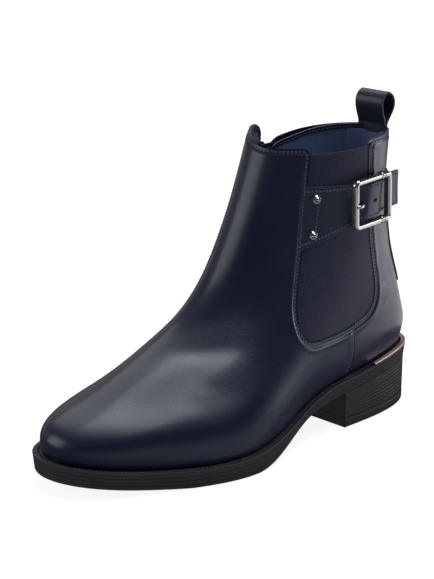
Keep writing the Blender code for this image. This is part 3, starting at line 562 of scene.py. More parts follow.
# Soft troughs pressed in by wear and lasting. The one across the instep follows a path of degrees round the
# last and rise; the others have two ends (x, z), a side, a width and a depth.
instepPath = [(2.0, 0.36), (10.0, 0.42), (24.0, 0.452), (38.0, 0.45), (52.0, 0.432), (64.0, 0.39)]
creaseRows = [
    (44.0, 92.0, 52.0, 80.0, 1.0, 3.6, 0.45), (40.0, 78.0, 50.0, 73.0, 1.0, 3.0, 0.32),
    (37.0, 66.0, 48.0, 62.0, 1.0, 2.6, 0.22), (116.0, 84.0, 126.0, 80.0, 1.0, 5.0, 0.22),
    (112.0, 99.0, 121.0, 98.0, 1.0, 4.6, 0.18), (164.0, 40.0, 182.0, 48.0, 1.0, 5.0, 0.10),
    (176.0, 34.0, 194.0, 44.0, 1.0, 5.0, 0.08), (164.0, 40.0, 182.0, 48.0, -1.0, 6.5, 0.14),
    (104.0, 82.0, 116.0, 79.0, -1.0, 5.0, 0.22), (56.0, 86.0, 70.0, 78.0, -1.0, 5.0, 0.20),
]
wear = dict(instepWide=7.0, instepDeep=0.75, instepSteps=25, steps=9, bank=0.35, bankIn=1.7, reach=48.0,
            waveDeep=0.05, waveLong=(7.3, 9.1, 12.0), sway=0.6, swayLong=8.0)
turns, rises = smoothLine(instepPath, wear["instepSteps"]).T
troughs = [(lastPoint(np.radians(turns), rises), wear["instepWide"], wear["instepDeep"], 0.0)]
for x0, z0, x1, z1, side, wide, deep in creaseRows:
    line = angleRise(np.linspace(x0, x1, wear["steps"]), np.linspace(z0, z1, wear["steps"]), side)
    troughs.append((lastPoint(*line), wide, deep, wear["bank"]))


def leatherWear(points):
    # each trough: depth * bell of the way to its line, with a bank beside it and faded ends; plus slow waves
    lift = np.zeros(len(points))
    for line, wide, deep, bank in troughs:
        near = np.flatnonzero(np.linalg.norm(points - line.mean(axis=0), axis=1) < wear["reach"])
        way = borderWay(points[near], line) / wide
        beside = bank * np.exp(-(way - wear["bankIn"]) ** 2)
        # the share along the line, weighted by nearness, fades the trough out at its ends
        weight = 1.0 / (((points[near, None] - line) ** 2).sum(axis=2) + 1.0) ** 2
        share = weight @ np.linspace(0.0, 1.0, len(line)) / weight.sum(axis=1)
        lift[near] += deep * np.sin(np.pi * share) * (beside - np.exp(-way ** 2))
    x, y, z = points.T
    longX, longZ, longY = wear["waveLong"]
    waves = np.sin(x / longX + wear["sway"] * np.sin(z / wear["swayLong"])) * np.sin(z / longZ + y / longY)
    return lift + wear["waveDeep"] * waves


def collarDip(angle):
    # the two tables' cubics, changed over at the zip
    turn = np.degrees(angle) % 360.0
    ahead = np.where(turn < rearCollar[0, 0], turn + 360.0, turn)
    return np.where(ahead < edges["zipTurn"], tableAt(rearCollar, turn), tableAt(frontCollar, ahead))


def panelLift(points, rise, border, lift):
    # plate lift, less the rounded edge, less the band pressed down by the stitches, plus the fullness beside
    # it and the wear
    way = borderWay(points, border)
    pull = panel["stitchPull"] * (1.0 - smoothStep(*panel["band"], way))
    puff = panel["puff"] * np.exp(-((way - panel["puffIn"]) / panel["puffWide"]) ** 2)
    puff = puff * (1.0 - panel["collarFade"] * smoothStep(*panel["collarZone"], rise))
    sewn = (puff - pull) * smoothStep(*panel["footZone"], rise)
    worn = leatherWear(points) * smoothStep(*panel["wearZone"], way)
    return lift - filletFall(way, panel["round"]) + sewn + worn


def panelGrid(left, right, length, count):
    # two blocks: from the feather line up to a line through the feet of both edges, and on up to the collar.
    # Each side gives its foot from the seam to its corner, its edge from the corner up, and its seam by rise.
    (leftTurn, leftRise), (rightTurn, rightRise) = left["foot"], right["foot"]
    low, high = leftTurn[-1], rightTurn[-1]
    partA = leftTurn[0] + (low - leftTurn[0]) * spread(left["footLong"], left["footCount"], tail=False)
    partB = low + (high - low) * spread(length, count)
    partC = high + (rightTurn[0] - high) * spread(right["footLong"], right["footCount"], head=False)
    share = (partB - low) / (high - low)
    middle = leftRise[-1] + (rightRise[-1] - leftRise[-1]) * share - panel["sag"] * np.sin(np.pi * share)
    tops = np.concatenate([np.interp(partA, leftTurn, leftRise), middle[1:],
                           np.interp(partC, rightTurn[::-1], rightRise[::-1])[1:]])
    columns = np.concatenate([partA, partB[1:], partC[1:]])
    lowRise = spread(panel["lowLong"], panel["lowRows"], head=False)[:, None] * tops
    # the columns near a seam lean with it
    leanLeft = 1.0 - smoothStep(partA[0], partA[-1], columns)
    leanRight = smoothStep(partC[0], partC[-1], columns)
    lowAngle = columns + leanLeft * (left["seam"](lowRise) - left["seam"](tops[0]))
    lowAngle = lowAngle + leanRight * (right["seam"](lowRise) - right["seam"](tops[-1]))
    # the collar's line: its dip and the falls of both rounded corners, over the rise's slope
    leftTop, rightTop = left["edge"][0][-1], right["edge"][0][-1]
    run = runLength(lastPoint(leftTop + (rightTop - leftTop) * share, panel["rimRise"]))
    fall = cornerFall(run, left["corner"]) + cornerFall(run[-1] - run, right["corner"])
    _, _, slope, _ = lastFrame(partB, panel["slopeRise"])
    top = 1.0 - (fall + collarDip(partB)) / np.linalg.norm(slope, axis=-1)
    upRise = middle + spread(panel["highLong"], panel["highRows"], head=False)[:, None] * (top - middle)
    leftEdge = np.interp(upRise[:, 0], left["edge"][1], left["edge"][0])
    rightEdge = np.interp(upRise[:, -1], right["edge"][1], right["edge"][0])
    upAngle = leftEdge[:, None] + (rightEdge - leftEdge)[:, None] * share
    turnA, turnC = len(partA) - 1, len(partA) + len(partB) - 2
    border = [np.concatenate([foot[:, -1], foot[-1, -2:turnC - 1:-1], head[1:, -1], head[-1, -2::-1],
                              head[-2::-1, 0], foot[-1, turnA - 1::-1], foot[-2::-1, 0]])
              for foot, head in ((lowAngle, upAngle), (lowRise, upRise))]
    return (lowAngle, lowRise), (upAngle, upRise), border


def panelBlock(angle, rise, border, lift):
    # one block's surface: the panel's lift, turned in over the last few millimetres above the sole
    base = lastPoint(angle, rise)
    lifts = panelLift(base.reshape(-1, 3), rise.ravel(), border, lift).reshape(angle.shape)
    lifts = lifts - panel["turnIn"] * (1.0 - smoothStep(*panel["turnZone"], rise)) ** 2
    return sheet(skin(angle, rise, lifts))


def panelWall(angle, rise, lift):
    # the cut edge: the border line at falling lifts
    shoulder = lift - panel["wallRound"] * panel["round"] - panel["wallDrop"]
    lifts = np.array([lift - panel["round"], shoulder, panel["foot"]])
    lifts = np.repeat(lifts[:, None], len(angle), axis=1)
    return sheet(skin(angle[None, :], rise[None, :], lifts), flip=True)


def addPanel(name, left, right, length, count, lift):
    # both blocks of a panel as one piece, and its cut edge as another
    low, up, (edgeAngle, edgeRise) = panelGrid(left, right, length, count)
    border = lastPoint(edgeAngle, edgeRise)
    addPiece(name, [panelBlock(*low, border, lift), panelBlock(*up, border, lift)], leather,
             stands=("upper",))
    # the cut edge's lighter finish is its own tone plus a painted highlight
    addPiece(name + "Edge", [panelWall(edgeAngle, edgeRise, lift)], edgeToneAndPaintedHighlight,
             stands=("upper",))
    print(name, low[0].size + up[0].size, "points")
    return edgeAngle, edgeRise, border, lift


# Vamp and front shaft in one, from the zip round the toe to the gore; its foot starts on the inner seam.
zipFrontAngle[0] = edges["innerSeam"]
vampZip = dict(foot=(zipFrontAngle[:zipFrontAt + 1], zipFrontRise[:zipFrontAt + 1]), footLong=5.4,
               footCount=3, edge=(zipFrontAngle[zipFrontAt:], zipFrontRise[zipFrontAt:]),
               seam=innerSeamAt, corner=(6.5, 8.5))
vampGore = dict(foot=(goreAngle[seamAt:frontAt + 1], goreRise[seamAt:frontAt + 1]), footLong=46.0,
                footCount=40, edge=(goreAngle[frontAt:], goreRise[frontAt:]),
                seam=outerSeamAt, corner=(5.4, 5.4))
vampLines = addPanel("vamp", vampZip, vampGore, *panel["vampGrid"], panel["vampLift"])

# Quarter from the gore round the heel to the zip, its seams tucked under the vamp.
tuck = panel["seamTuck"] / panel["tuckRadius"]
fullTurn = 2.0 * np.pi


def tuckedOuterSeam(rise):
    # the outer seam moved forward by the tuck
    return outerSeamAt(rise) - tuck


def tuckedInnerSeam(rise):
    # the inner seam a full turn on, moved forward by the tuck
    return innerSeamAt(rise) + fullTurn + tuck


footAngle = np.concatenate([goreAngle[seamAt] - tuck * np.array([1.0, panel["tuckShare"]]),
                            goreAngle[seamAt:rearAt - 1:-1]])
footRise = np.concatenate([goreRise[seamAt] - np.array(panel["tuckFalls"]), goreRise[seamAt:rearAt - 1:-1]])
quarterGore = dict(foot=(footAngle, footRise), footLong=24.0, footCount=16, seam=tuckedOuterSeam,
                   edge=(goreAngle[rearAt::-1], goreRise[rearAt::-1]), corner=(6.3, 4.6))
footAngle = fullTurn + np.concatenate([[edges["innerSeam"] + tuck], zipRearAngle[:zipRearAt + 1]])
footRise = np.concatenate([zipRearRise[:1] - panel["tuckFalls"][1], zipRearRise[:zipRearAt + 1]])
quarterZip = dict(foot=(footAngle, footRise), footLong=5.4, footCount=3, seam=tuckedInnerSeam,
                  edge=(fullTurn + zipRearAngle[zipRearAt:], zipRearRise[zipRearAt:]), corner=(7.0, 5.0))
quarterLines = addPanel("quarter", quarterGore, quarterZip, *panel["quarterGrid"], panel["quarterLift"])

# Lining: a ring inside the panels, lower at the gore and the zip, with its own rounded rim.
lining = dict(high=-1.0, low=-2.2, round=0.5, roundSteps=6, below=0.3, columns=420, rows=60, top=1.9,
              deep=130.0, proud=0.25, footRise=0.01, lip=0.25)
ring = np.linspace(0.0, fullTurn, lining["columns"], endpoint=False)
goreFront, goreRear = goreAngle[-1], goreAngle[0]
zipAhead, zipBehind = fullTurn + zipFrontAngle[-1], fullTurn + zipRearAngle[-1]
# the rim falls with the panels' rounded corners (angle past the edge, radius there, the panel's side), and
# lies level behind the gore and the zip
corners = [(goreFront - ring, 36.0, vampGore), (ring - goreRear, 41.0, quarterGore),
           (zipBehind - ring, 42.0, quarterZip), (ring - zipAhead, 23.0, vampZip)]
liningTop = lastPoint(ring, 1.0)[:, 2] - lining["below"] - collarDip(ring)
for past, radius, side in corners:
    liningTop -= np.where(past > 0.0, cornerFall(np.maximum(past, 0.0) * radius, side["corner"]), 0.0)
liningTop = np.where((ring > goreFront) & (ring < goreRear), edges["goreTop"][0] - lining["below"], liningTop)
liningTop = np.where((ring > zipBehind) & (ring < zipAhead), edges["zipTop"] - lining["below"], liningTop)
liningRise = riseAt(ring, liningTop)
turn = np.linspace(0.0, np.pi / 2.0, lining["roundSteps"])
# rows of (depth below the rim, lift): the leather folded over the rim, and the lining below the fold
foldRows = [(0.0, lining["high"]), (0.0, lining["high"] - lining["lip"])]
foldRows += list(zip(lining["round"] * (1.0 - np.cos(turn)),
                     lining["low"] + lining["round"] * (1.0 - np.sin(turn))))
foldRows += [(deep, lining["low"] + lift)
             for deep, lift in ((1.0, 0.0), (1.7, 0.0), (2.1, 0.03), (2.3, 0.15), (2.35, 0.5))]
liningRows = [(deep, lining["low"] + lining["proud"])
              for deep in np.linspace(lining["top"], lining["deep"], lining["rows"])]


def addRing(name, rows, finish):
    # a band round the inside: each row lies at a share of the way from the rim down to the sock
    depth, lifts = np.array(rows).T
    share = np.clip(depth / lining["deep"], 0.0, 1.0)[:, None]
    rises = liningRise * (1.0 - share) + lining["footRise"] * share
    points = skin(np.broadcast_to(ring, rises.shape), rises, np.repeat(lifts[:, None], len(ring), axis=1))
    addPiece(name, [sheet(points, wrap=True)], finish, stands=("upper",))


addRing("collarFold", foldRows, leather)
addRing("lining", liningRows, liningCloth)

# Suede grip inside the back of the heel, its foot narrowed in a curve.
grip = dict(half=0.55, heights=(84.0, 154.8), low=-2.1, high=-2.5, round=0.4, curve=0.55, narrow=0.86,
            rows=60, columns=61)
gripRow, gripColumn = np.linspace(0.0, 1.0, grip["rows"]), np.linspace(-1.0, 1.0, grip["columns"])
gripFall = (1.0 - np.minimum(gripRow / grip["curve"], 1.0)) ** 2
gripAngle = np.pi + (grip["half"] * np.sqrt(1.0 - gripFall * grip["narrow"]))[:, None] * gripColumn
gripRise = riseAt(gripAngle, between(grip["heights"], gripRow[:, None]))
addPiece("heelGrip", plate(gripAngle, gripRise, grip["low"], grip["high"], grip["round"], inside=True), suede,
         stands=("upper",))
print("lining and heel grip")

# Gore: an elastic patch that runs on under the panels, a little full in the middle, rounded at its top.
gore = dict(lift=-0.75, full=0.4, low=0.24, under=0.12, round=0.45, foot=-1.3, long=90.0, rows=90,
            columns=110)
goreShare = spread(gore["long"], gore["rows"], head=False)
goreColumn = np.linspace(0.0, 1.0, gore["columns"])
topRise = riseAt(between((goreFront, goreRear), goreColumn), between(edges["goreTop"], goreColumn))
goreGrid = gore["low"] + goreShare[:, None] * (topRise - gore["low"])
goreLeft = np.interp(goreGrid[:, 0], goreRise[frontAt:], goreAngle[frontAt:]) - gore["under"]
goreRight = np.interp(goreGrid[:, -1], goreRise[rearAt::-1], goreAngle[rearAt::-1]) + gore["under"]
goreAngles = goreLeft[:, None] + (goreRight - goreLeft)[:, None] * goreColumn
goreFall = filletFall((1.0 - goreShare)[:, None] * gore["long"], gore["round"])
goreLift = gore["lift"] + gore["full"] * (1.0 - (2.0 * goreColumn - 1.0) ** 2) ** 2 - goreFall
gorePoints = skin(goreAngles, goreGrid, goreLift)
goreRun = np.cumsum(np.linalg.norm(np.diff(gorePoints, axis=1, prepend=gorePoints[:, :1]), axis=2), axis=1)
goreUv = np.stack([goreRun - goreRun[:, -1:] / 2.0, gorePoints[..., 2]], axis=-1)
goreFoot = np.full(gore["columns"], gore["foot"])
goreRim = np.stack([gorePoints[-1], skin(goreAngles[-1], goreGrid[-1], goreFoot)])
addPiece("goreCloth", [sheet(gorePoints) + (goreUv,), sheet(goreRim) + (goreUv[[-1, -1]],)],
         elastic, stands=("gore",))
print("gore", goreAngles.size, "points")

# Sole: a section carried round the feather line, closed underneath by strips from side to side with tread.
sole = dict(toeLedge=1.1, columns=360, sides=(4.4, 3.4), grooves=(0.30, 0.52, 0.73), reach=0.0425,
            section=((1.0, 0.0), (0.75, 0.05), (0.45, 0.22)), fineSteps=4000)
tread = dict(strips=49, pitch=7.0, deep=0.9, bar=(0.62, 0.82), sway=2.2, swayLong=9.0, swayPull=1.6,
             margin=(3.0, 4.2), start=(132.0, 138.0), end=(240.0, 246.0))
sideTurn = np.linspace(0.0, np.pi, sole["fineSteps"])
sideRun = runLength(lastPoint(sideTurn, 0.0))
sideAngles = np.interp(np.linspace(0.0, sideRun[-1], sole["columns"]), sideRun, sideTurn)
soleRing = np.concatenate([sideAngles, -sideAngles[-2:0:-1]])


def soleRow(angles, outset, share, drop):
    # plan from the feather line moved out, height between the sole's top and bottom at that plan x
    plan, _ = feather(angles, outset + sole["toeLedge"] * np.clip(np.cos(angles), 0.0, 1.0) ** 2)
    z = soleTop(plan[..., 0]) * (1.0 - share) + soleBottom(plan[..., 0]) * share - drop
    return np.concatenate([plan, z[..., None]], axis=-1)


def bothSides(points):
    # a ring's outer and inner half, each from toe to heel
    count = sole["columns"]
    return points[:count], np.concatenate([points[:1], points[:count - 1:-1], points[count - 1:count]])


def grooveSteps(middle, shape):
    # shares and depths across a groove, the same on either side of its middle
    steps = [(shape["reach"] * way, deep) for way, deep in shape["section"]]
    return [(middle - way, deep) for way, deep in steps] + [(middle + way, deep) for way, deep in steps[::-1]]


# rows of (outset, share from top to bottom, drop): the gap beside the upper and the ledge, the side, the
# lower edge
sideProfile = [(-4.0, 0.0, 0.0), (0.2, 0.0, 0.0), (0.7, 0.0, 0.35), (0.95, 0.0, 0.8), (1.35, 0.0, 0.8),
               (1.6, 0.0, 0.3), (1.75, 0.0, 0.06), (2.0, 0.0, 0.0), (3.7, 0.0, 0.0), (4.1, 0.0, 0.06),
               (4.3, 0.0, 0.22), (4.4, 0.0, 0.5)]
sideShares = [(0.14, 0.0), (0.24, 0.0), (0.85, 0.0), (0.9, 0.0)]
for groove in sole["grooves"]:
    sideShares += grooveSteps(groove, sole)
sideProfile += [(between(sole["sides"], share) - deep, share, 0.0) for share, deep in sorted(sideShares)]
sideProfile += [(3.35, 0.955, 0.0), (3.15, 0.985, 0.0), (2.7, 1.0, 0.0)]
soleSide = np.stack([soleRow(soleRing, *row) for row in sideProfile])
outerUnder, innerUnder = bothSides(soleSide[-1])
across = np.linspace(0.0, 1.0, tread["strips"])
bottom = outerUnder[:, None] + (innerUnder - outerUnder)[:, None] * across[:, None]
bottomX, bottomY = bottom[..., 0], bottom[..., 1]
margin = np.minimum(across, 1.0 - across) * np.linalg.norm(outerUnder - innerUnder, axis=1)[:, None]
zigzag = tread["sway"] * np.abs((bottomY / tread["swayLong"]) % 2.0 - 1.0)
bar = 0.5 - 0.5 * np.cos(2.0 * np.pi * (bottomX + tread["swayPull"] * zigzag) / tread["pitch"])
treadZone = smoothStep(*tread["margin"], margin) * smoothStep(*tread["start"], bottomX)
treadZone = treadZone * (1.0 - smoothStep(*tread["end"], bottomX))
bottom[..., 2] = soleBottom(bottomX) + tread["deep"] * smoothStep(*tread["bar"], bar) * treadZone
topCap = np.stack(bothSides(soleSide[0]), axis=1)
addPiece("outsoleUnit", [sheet(soleSide, wrap=True, flip=True), sheet(bottom), sheet(topCap, flip=True)],
         rubber, stands=("outsole",), closed=True, sharp=42)
print("outsole", soleSide.shape[0] * soleSide.shape[1] + bottomX.size, "points")

# Heel block with fine ribs, a flat breast, and its top lift below a groove.
heel = dict(outset=3.4, taper=0.3, foot=5.55, ribs=9, reach=0.022, columns=150, breastSteps=20, breast=75.5,
            section=((1.0, 0.0), (0.7, 0.04), (0.4, 0.12)), turns=(0.45 * np.pi, 1.55 * np.pi),
            fineSteps=1600)


def heelRing(outset):
    # the feather line's rear part moved out, cut off straight at the breast
    angles = np.linspace(*heel["turns"], heel["fineSteps"])
    plan, _ = feather(angles, np.full(angles.shape, outset))
    plan = plan[plan[:, 0] <= heel["breast"]]
    plan[0, 0] = plan[-1, 0] = heel["breast"]
    run = runLength(plan)
    even = np.linspace(0.0, run[-1], heel["columns"])
    curve = np.stack([np.interp(even, run, plan[:, 0]), np.interp(even, run, plan[:, 1])], axis=-1)
    line = np.linspace(0.0, 1.0, heel["breastSteps"] + 2)[1:-1, None]
    return np.concatenate([curve, curve[-1] + (curve[0] - curve[-1]) * line])


def heelRow(share, inset):
    # between the sole's underside (share 0) and the top lift's line (share 1)
    plan = heelRing(heel["outset"] - heel["taper"] * share - inset)
    z = soleBottom(plan[:, 0]) * (1.0 - share) + heel["foot"] * share
    return np.concatenate([plan, z[:, None]], axis=1)


def liftRow(inset, z):
    # the heel's foot moved in, at one height
    plan = heelRing(heel["outset"] - heel["taper"] - inset)
    return np.concatenate([plan, np.full((len(plan), 1), z)], axis=1)


def addHeel(name, rows, node):
    # rings of a heel piece with both ends closed
    side = np.stack(rows)
    addPiece(name, [sheet(side, wrap=True, flip=True), fan(side[0]), fan(side[-1], flip=True)],
             rubber, stands=(node,), closed=True, sharp=42)


heelShares = [(0.0, 0.55), (0.012, 0.5), (0.022, 0.1), (0.035, 0.0)]
for rib in range(1, heel["ribs"]):
    heelShares += grooveSteps(rib / heel["ribs"], heel)
heelShares += [(0.965, 0.0), (0.985, 0.12), (1.0, 0.8)]
addHeel("heelBlock", [heelRow(*row) for row in heelShares], "heel")
liftRows = [(0.8, 5.35), (0.75, 5.2), (0.12, 5.1), (0.0, 4.85), (0.0, 2.5), (0.0, 0.6), (0.12, 0.2),
            (0.5, 0.0)]
addHeel("heelLift", [liftRow(*row) for row in liftRows], "heel_top_lift")

# Metal strip on the ledge, round the back of the heel seat.
trim = dict(front=129.0, outset=3.05, wide=2.7, high=1.3, round=0.3, gap=0.1, steps=140)
upright = np.array([0.0, 0.0, 1.0])
trimAngles = np.radians(np.linspace(trim["front"], 360.0 - trim["front"], trim["steps"]))
trimPlan, trimOut = feather(trimAngles, np.full(trimAngles.shape, trim["outset"]))
trimZ = soleTop(trimPlan[:, 0])[:, None] + trim["gap"] + trim["high"] / 2.0
trimPath = np.concatenate([trimPlan, trimZ], axis=1)
trimRight = np.concatenate([trimOut, np.zeros((len(trimOut), 1))], axis=1)
addPiece("heelTrim", sweep(trimPath, trimRight, upright, roundBox(trim["wide"], trim["high"], trim["round"])),
         roseGold, stands=("heel_trim",), closed=True, sharp=50)

# Insole: a sock from side to side on the sole.
insole = dict(inset=-3.0, high=2.8, strips=9)
sockOuter, sockInner = [soleRow(side * sideAngles[::3], insole["inset"], 0.0, -insole["high"])
                        for side in (1.0, -1.0)]
sockShare = np.linspace(0.0, 1.0, insole["strips"])[:, None]
sock = sockOuter[:, None] + (sockInner - sockOuter)[:, None] * sockShare
addPiece("insoleSock", [sheet(sock, flip=True)], liningCloth, stands=("insole",))
print("sole, heel and insole")

# Strap: tapered base on the gore, through the buckle, free tail. Its table gives the lower and upper edges'
# angle and height, the lift off the upper and the thickness.
strap = dict(long=96.0, longSteps=160, wide=22.0, wideSteps=12, round=0.4)
strapRows = np.array([
    (58.0, 103.9, 51.0, 137.6, -0.55, 1.0), (66.0, 105.9, 60.0, 137.3, -0.5, 1.05),
    (74.0, 108.0, 70.0, 136.9, -0.4, 1.15), (82.0, 110.6, 79.0, 136.5, -0.2, 1.3),
    (88.0, 112.7, 86.5, 136.1, 0.1, 1.45), (93.0, 114.7, 92.5, 135.8, 1.1, 1.6),
    (98.0, 116.0, 98.0, 135.6, 2.9, 1.6), (102.0, 116.3, 102.0, 135.6, 3.8, 1.6),
    (110.0, 116.5, 110.0, 135.8, 3.8, 1.6), (114.0, 116.6, 114.0, 135.9, 3.0, 1.6),
    (119.0, 116.7, 119.0, 136.0, 1.7, 1.6), (125.0, 116.7, 125.0, 136.1, 1.5, 1.6),
    (132.0, 116.7, 132.0, 136.3, 2.2, 1.6), (139.0, 116.8, 139.0, 136.4, 3.6, 1.6),
    (145.0, 116.7, 145.0, 136.5, 5.5, 1.6),
])
strapSteps = np.linspace(0.0, 1.0, len(strapRows))


def strapGrid(along, across):
    # the table's cubic along the strap, straight across it: angle, height, underside and face
    footAngle, footZ, headAngle, headZ, off, thick = spline(strapSteps, strapRows, along).T
    angle = np.radians(between((footAngle, headAngle), across[:, None]))
    z = between((footZ, headZ), across[:, None])
    return angle, z, np.broadcast_to(off, angle.shape), np.broadcast_to(off + thick, angle.shape)


strapAngle, strapZ, strapUnder, strapFace = strapGrid(spread(strap["long"], strap["longSteps"]),
                                                      spread(strap["wide"], strap["wideSteps"]))
strapRise = riseAt(strapAngle, strapZ)
addPiece("strapBand", plate(strapAngle, strapRise, strapUnder, strapFace, strap["round"], back=True),
         strapLeather, stands=("strap",))

# Rear tab that carries the buckle.
rear = dict(turns=(100.0, 159.2), heights=(116.5, 135.5), low=-0.2, high=1.2, round=0.4, long=50.0,
            longSteps=60, wide=19.0, wideSteps=8)
rearZ = between(rear["heights"], spread(rear["wide"], rear["wideSteps"]))[:, None]
rearTurn = np.radians(between(rear["turns"], spread(rear["long"], rear["longSteps"])))
rearAngle, rearZ = np.broadcast_arrays(rearTurn, rearZ)
addPiece("strapRear", plate(rearAngle, riseAt(rearAngle, rearZ), rear["low"], rear["high"], rear["round"]),
         strapLeather, stands=("strap_rear",))

# Buckle: a deep frame of rounded section, a centre bar, knuckles on the frame and a prong with a turned tip.
buckle = dict(x=60.0, z=125.8, turn=math.radians(9.5), roll=math.radians(1.6), size=(34.0, 27.4), bar=3.0,
              deep=4.2, lift=6.4, corner=3.4, edge=1.15, centreAlong=4.0, centreWide=1.8, centreLift=1.5,
              centreRound=0.6, centreIn=1.0, centreSteps=12)
buckleBase = lastPoint(*angleRise(buckle["x"], buckle["z"], 1.0))
level = np.array([-math.cos(buckle["turn"]), -math.sin(buckle["turn"]), 0.0])
buckleOut = np.array([-math.sin(buckle["turn"]), math.cos(buckle["turn"]), 0.0])
buckleAlong = level * math.cos(buckle["roll"]) + np.cross(buckleOut, level) * math.sin(buckle["roll"])
buckleAcross = np.cross(buckleAlong, buckleOut)
frameWide, frameTall = buckle["size"]
frameMiddle = buckle["lift"] - buckle["deep"] / 2.0


def onBuckle(along, across, out):
    # base + steps along the buckle's three directions
    return (buckleBase + np.asarray(along)[..., None] * buckleAlong
            + np.asarray(across)[..., None] * buckleAcross + np.asarray(out)[..., None] * buckleOut)


def addMetal(name, parts, node, sharp=40):
    # a closed chrome piece
    addPiece(name, parts, chrome, stands=(node,), closed=True, sharp=sharp)


middleLine = roundBox(frameWide - buckle["bar"], frameTall - buckle["bar"],
                      buckle["corner"] - buckle["bar"] / 2.0, steps=9)
lineStep = unit(np.roll(middleLine, -1, axis=0) - np.roll(middleLine, 1, axis=0))
lineOut = lineStep[:, 1:] * buckleAlong - lineStep[:, :1] * buckleAcross
frameSection = roundBox(buckle["bar"], buckle["deep"], buckle["edge"], steps=5)
addMetal("buckleFrame", sweep(onBuckle(middleLine[:, 0], middleLine[:, 1], frameMiddle), lineOut, buckleOut,
                              frameSection, loop=True), "buckle_frame")
barHalf = frameTall / 2.0 - buckle["centreIn"]
barPath = onBuckle(buckle["centreAlong"], np.linspace(-barHalf, barHalf, buckle["centreSteps"]),
                   buckle["centreLift"] + buckle["centreWide"] / 2.0)
barSection = roundBox(buckle["centreWide"], buckle["centreWide"], buckle["centreRound"])
addMetal("buckleBar", sweep(barPath, buckleAlong, buckleOut, barSection), "buckle_frame")
# each knuckle swells the frame's section at both its ends
knuckle = dict(at=9.0, long=3.6, over=0.35, sizes=(0.7, 1.0, 1.0, 0.0, 0.0, 0.0, 0.0, 1.0, 1.0, 0.7),
               steps=np.array([-0.5, -0.42, -0.36, -0.3, -0.2, 0.2, 0.3, 0.36, 0.42, 0.5]))
knuckleSection = np.stack([roundBox(buckle["bar"] + 2.0 * knuckle["over"] * size,
                                    buckle["deep"] + 2.0 * knuckle["over"] * size, buckle["edge"])
                           for size in knuckle["sizes"]])
knuckleParts = []
for side in (-1.0, 1.0):
    knucklePath = onBuckle(knuckle["at"] + knuckle["long"] * knuckle["steps"],
                           side * (frameTall - buckle["bar"]) / 2.0, frameMiddle)
    knuckleParts += sweep(knucklePath, buckleAcross, buckleOut, knuckleSection)
addMetal("buckleKnuckle", knuckleParts, "buckle_frame")
# the prong's line (along, out); its round section is thinner towards the tip, and the tip is rounded
prong = dict(radius=1.1, flat=1.15, thin=0.25, thinFrom=0.6, tip=0.03, least=0.02, steps=60, sides=14,
             line=[(2.7, 2.65), (-7.0, 2.65), (-9.4, 3.3), (-11.0, 5.2), (-12.6, 7.1), (-14.4, 7.7),
                   (-16.4, 7.6), (-18.0, 6.9)])
prongXz = smoothLine(prong["line"], prong["steps"])
prongPath = onBuckle(prongXz[:, 0], 0.0, prongXz[:, 1])
prongRun = unit(np.gradient(prongPath, axis=0))
prongShare = np.linspace(0.0, 1.0, prong["steps"])
prongTip = ((prongShare - 1.0 + prong["tip"]) / prong["tip"]).clip(0.0) ** 2
prongSize = prong["radius"] * (1.0 - prong["thin"] * smoothStep(prong["thinFrom"], 1.0, prongShare))
prongSize = prongSize * np.sqrt(np.clip(1.0 - prongTip, prong["least"], 1.0))
prongTurn = np.linspace(0.0, fullTurn, prong["sides"], endpoint=False)
prongRing = np.stack([prong["flat"] * np.cos(prongTurn), np.sin(prongTurn)], axis=-1)
prongSection = prongSize[:, None, None] * prongRing
addMetal("buckleProng", sweep(prongPath, buckleAcross, np.cross(buckleAcross, prongRun), prongSection),
         "buckle_prong", sharp=60)

# Pinholes in the strap's window: none is cut; each is a disc of painted shade, standing for the dark hollow,
# laid on the strap's own face.
holes = dict(along=(-8.6, 1.3), radius=1.15, bend=31.0, proud=0.05, dish=0.01, sides=28, faceSteps=400)
midRows = spline(strapSteps, strapRows, np.linspace(0.0, 1.0, holes["faceSteps"]))
midAngles = np.radians((midRows[:, 0] + midRows[:, 2]) / 2.0)


def onStrap(angle, z, extra):
    # the strap's face at an angle and height, raised a little
    face = np.interp(angle, midAngles, midRows[:, 4] + midRows[:, 5])
    return skin(angle, riseAt(angle, z), face + extra)


discRing = np.array([0.0, 0.5, 1.0])[:, None]
discTurn = np.linspace(0.0, fullTurn, holes["sides"], endpoint=False)
holeParts = []
for along in holes["along"]:
    spot = onBuckle(along, 0.0, 0.0)
    holeAngle, _ = angleRise(spot[0], spot[2], 1.0)
    discAngle = holeAngle + discRing * holes["radius"] * np.cos(discTurn) / holes["bend"]
    discZ = spot[2] + discRing * holes["radius"] * np.sin(discTurn)
    discFace = onStrap(discAngle, discZ, holes["proud"] - holes["dish"] * discRing)
    holeParts.append(sheet(discFace, wrap=True, flip=True))
addPiece("strapHoles", holeParts, paintedHoleShade)

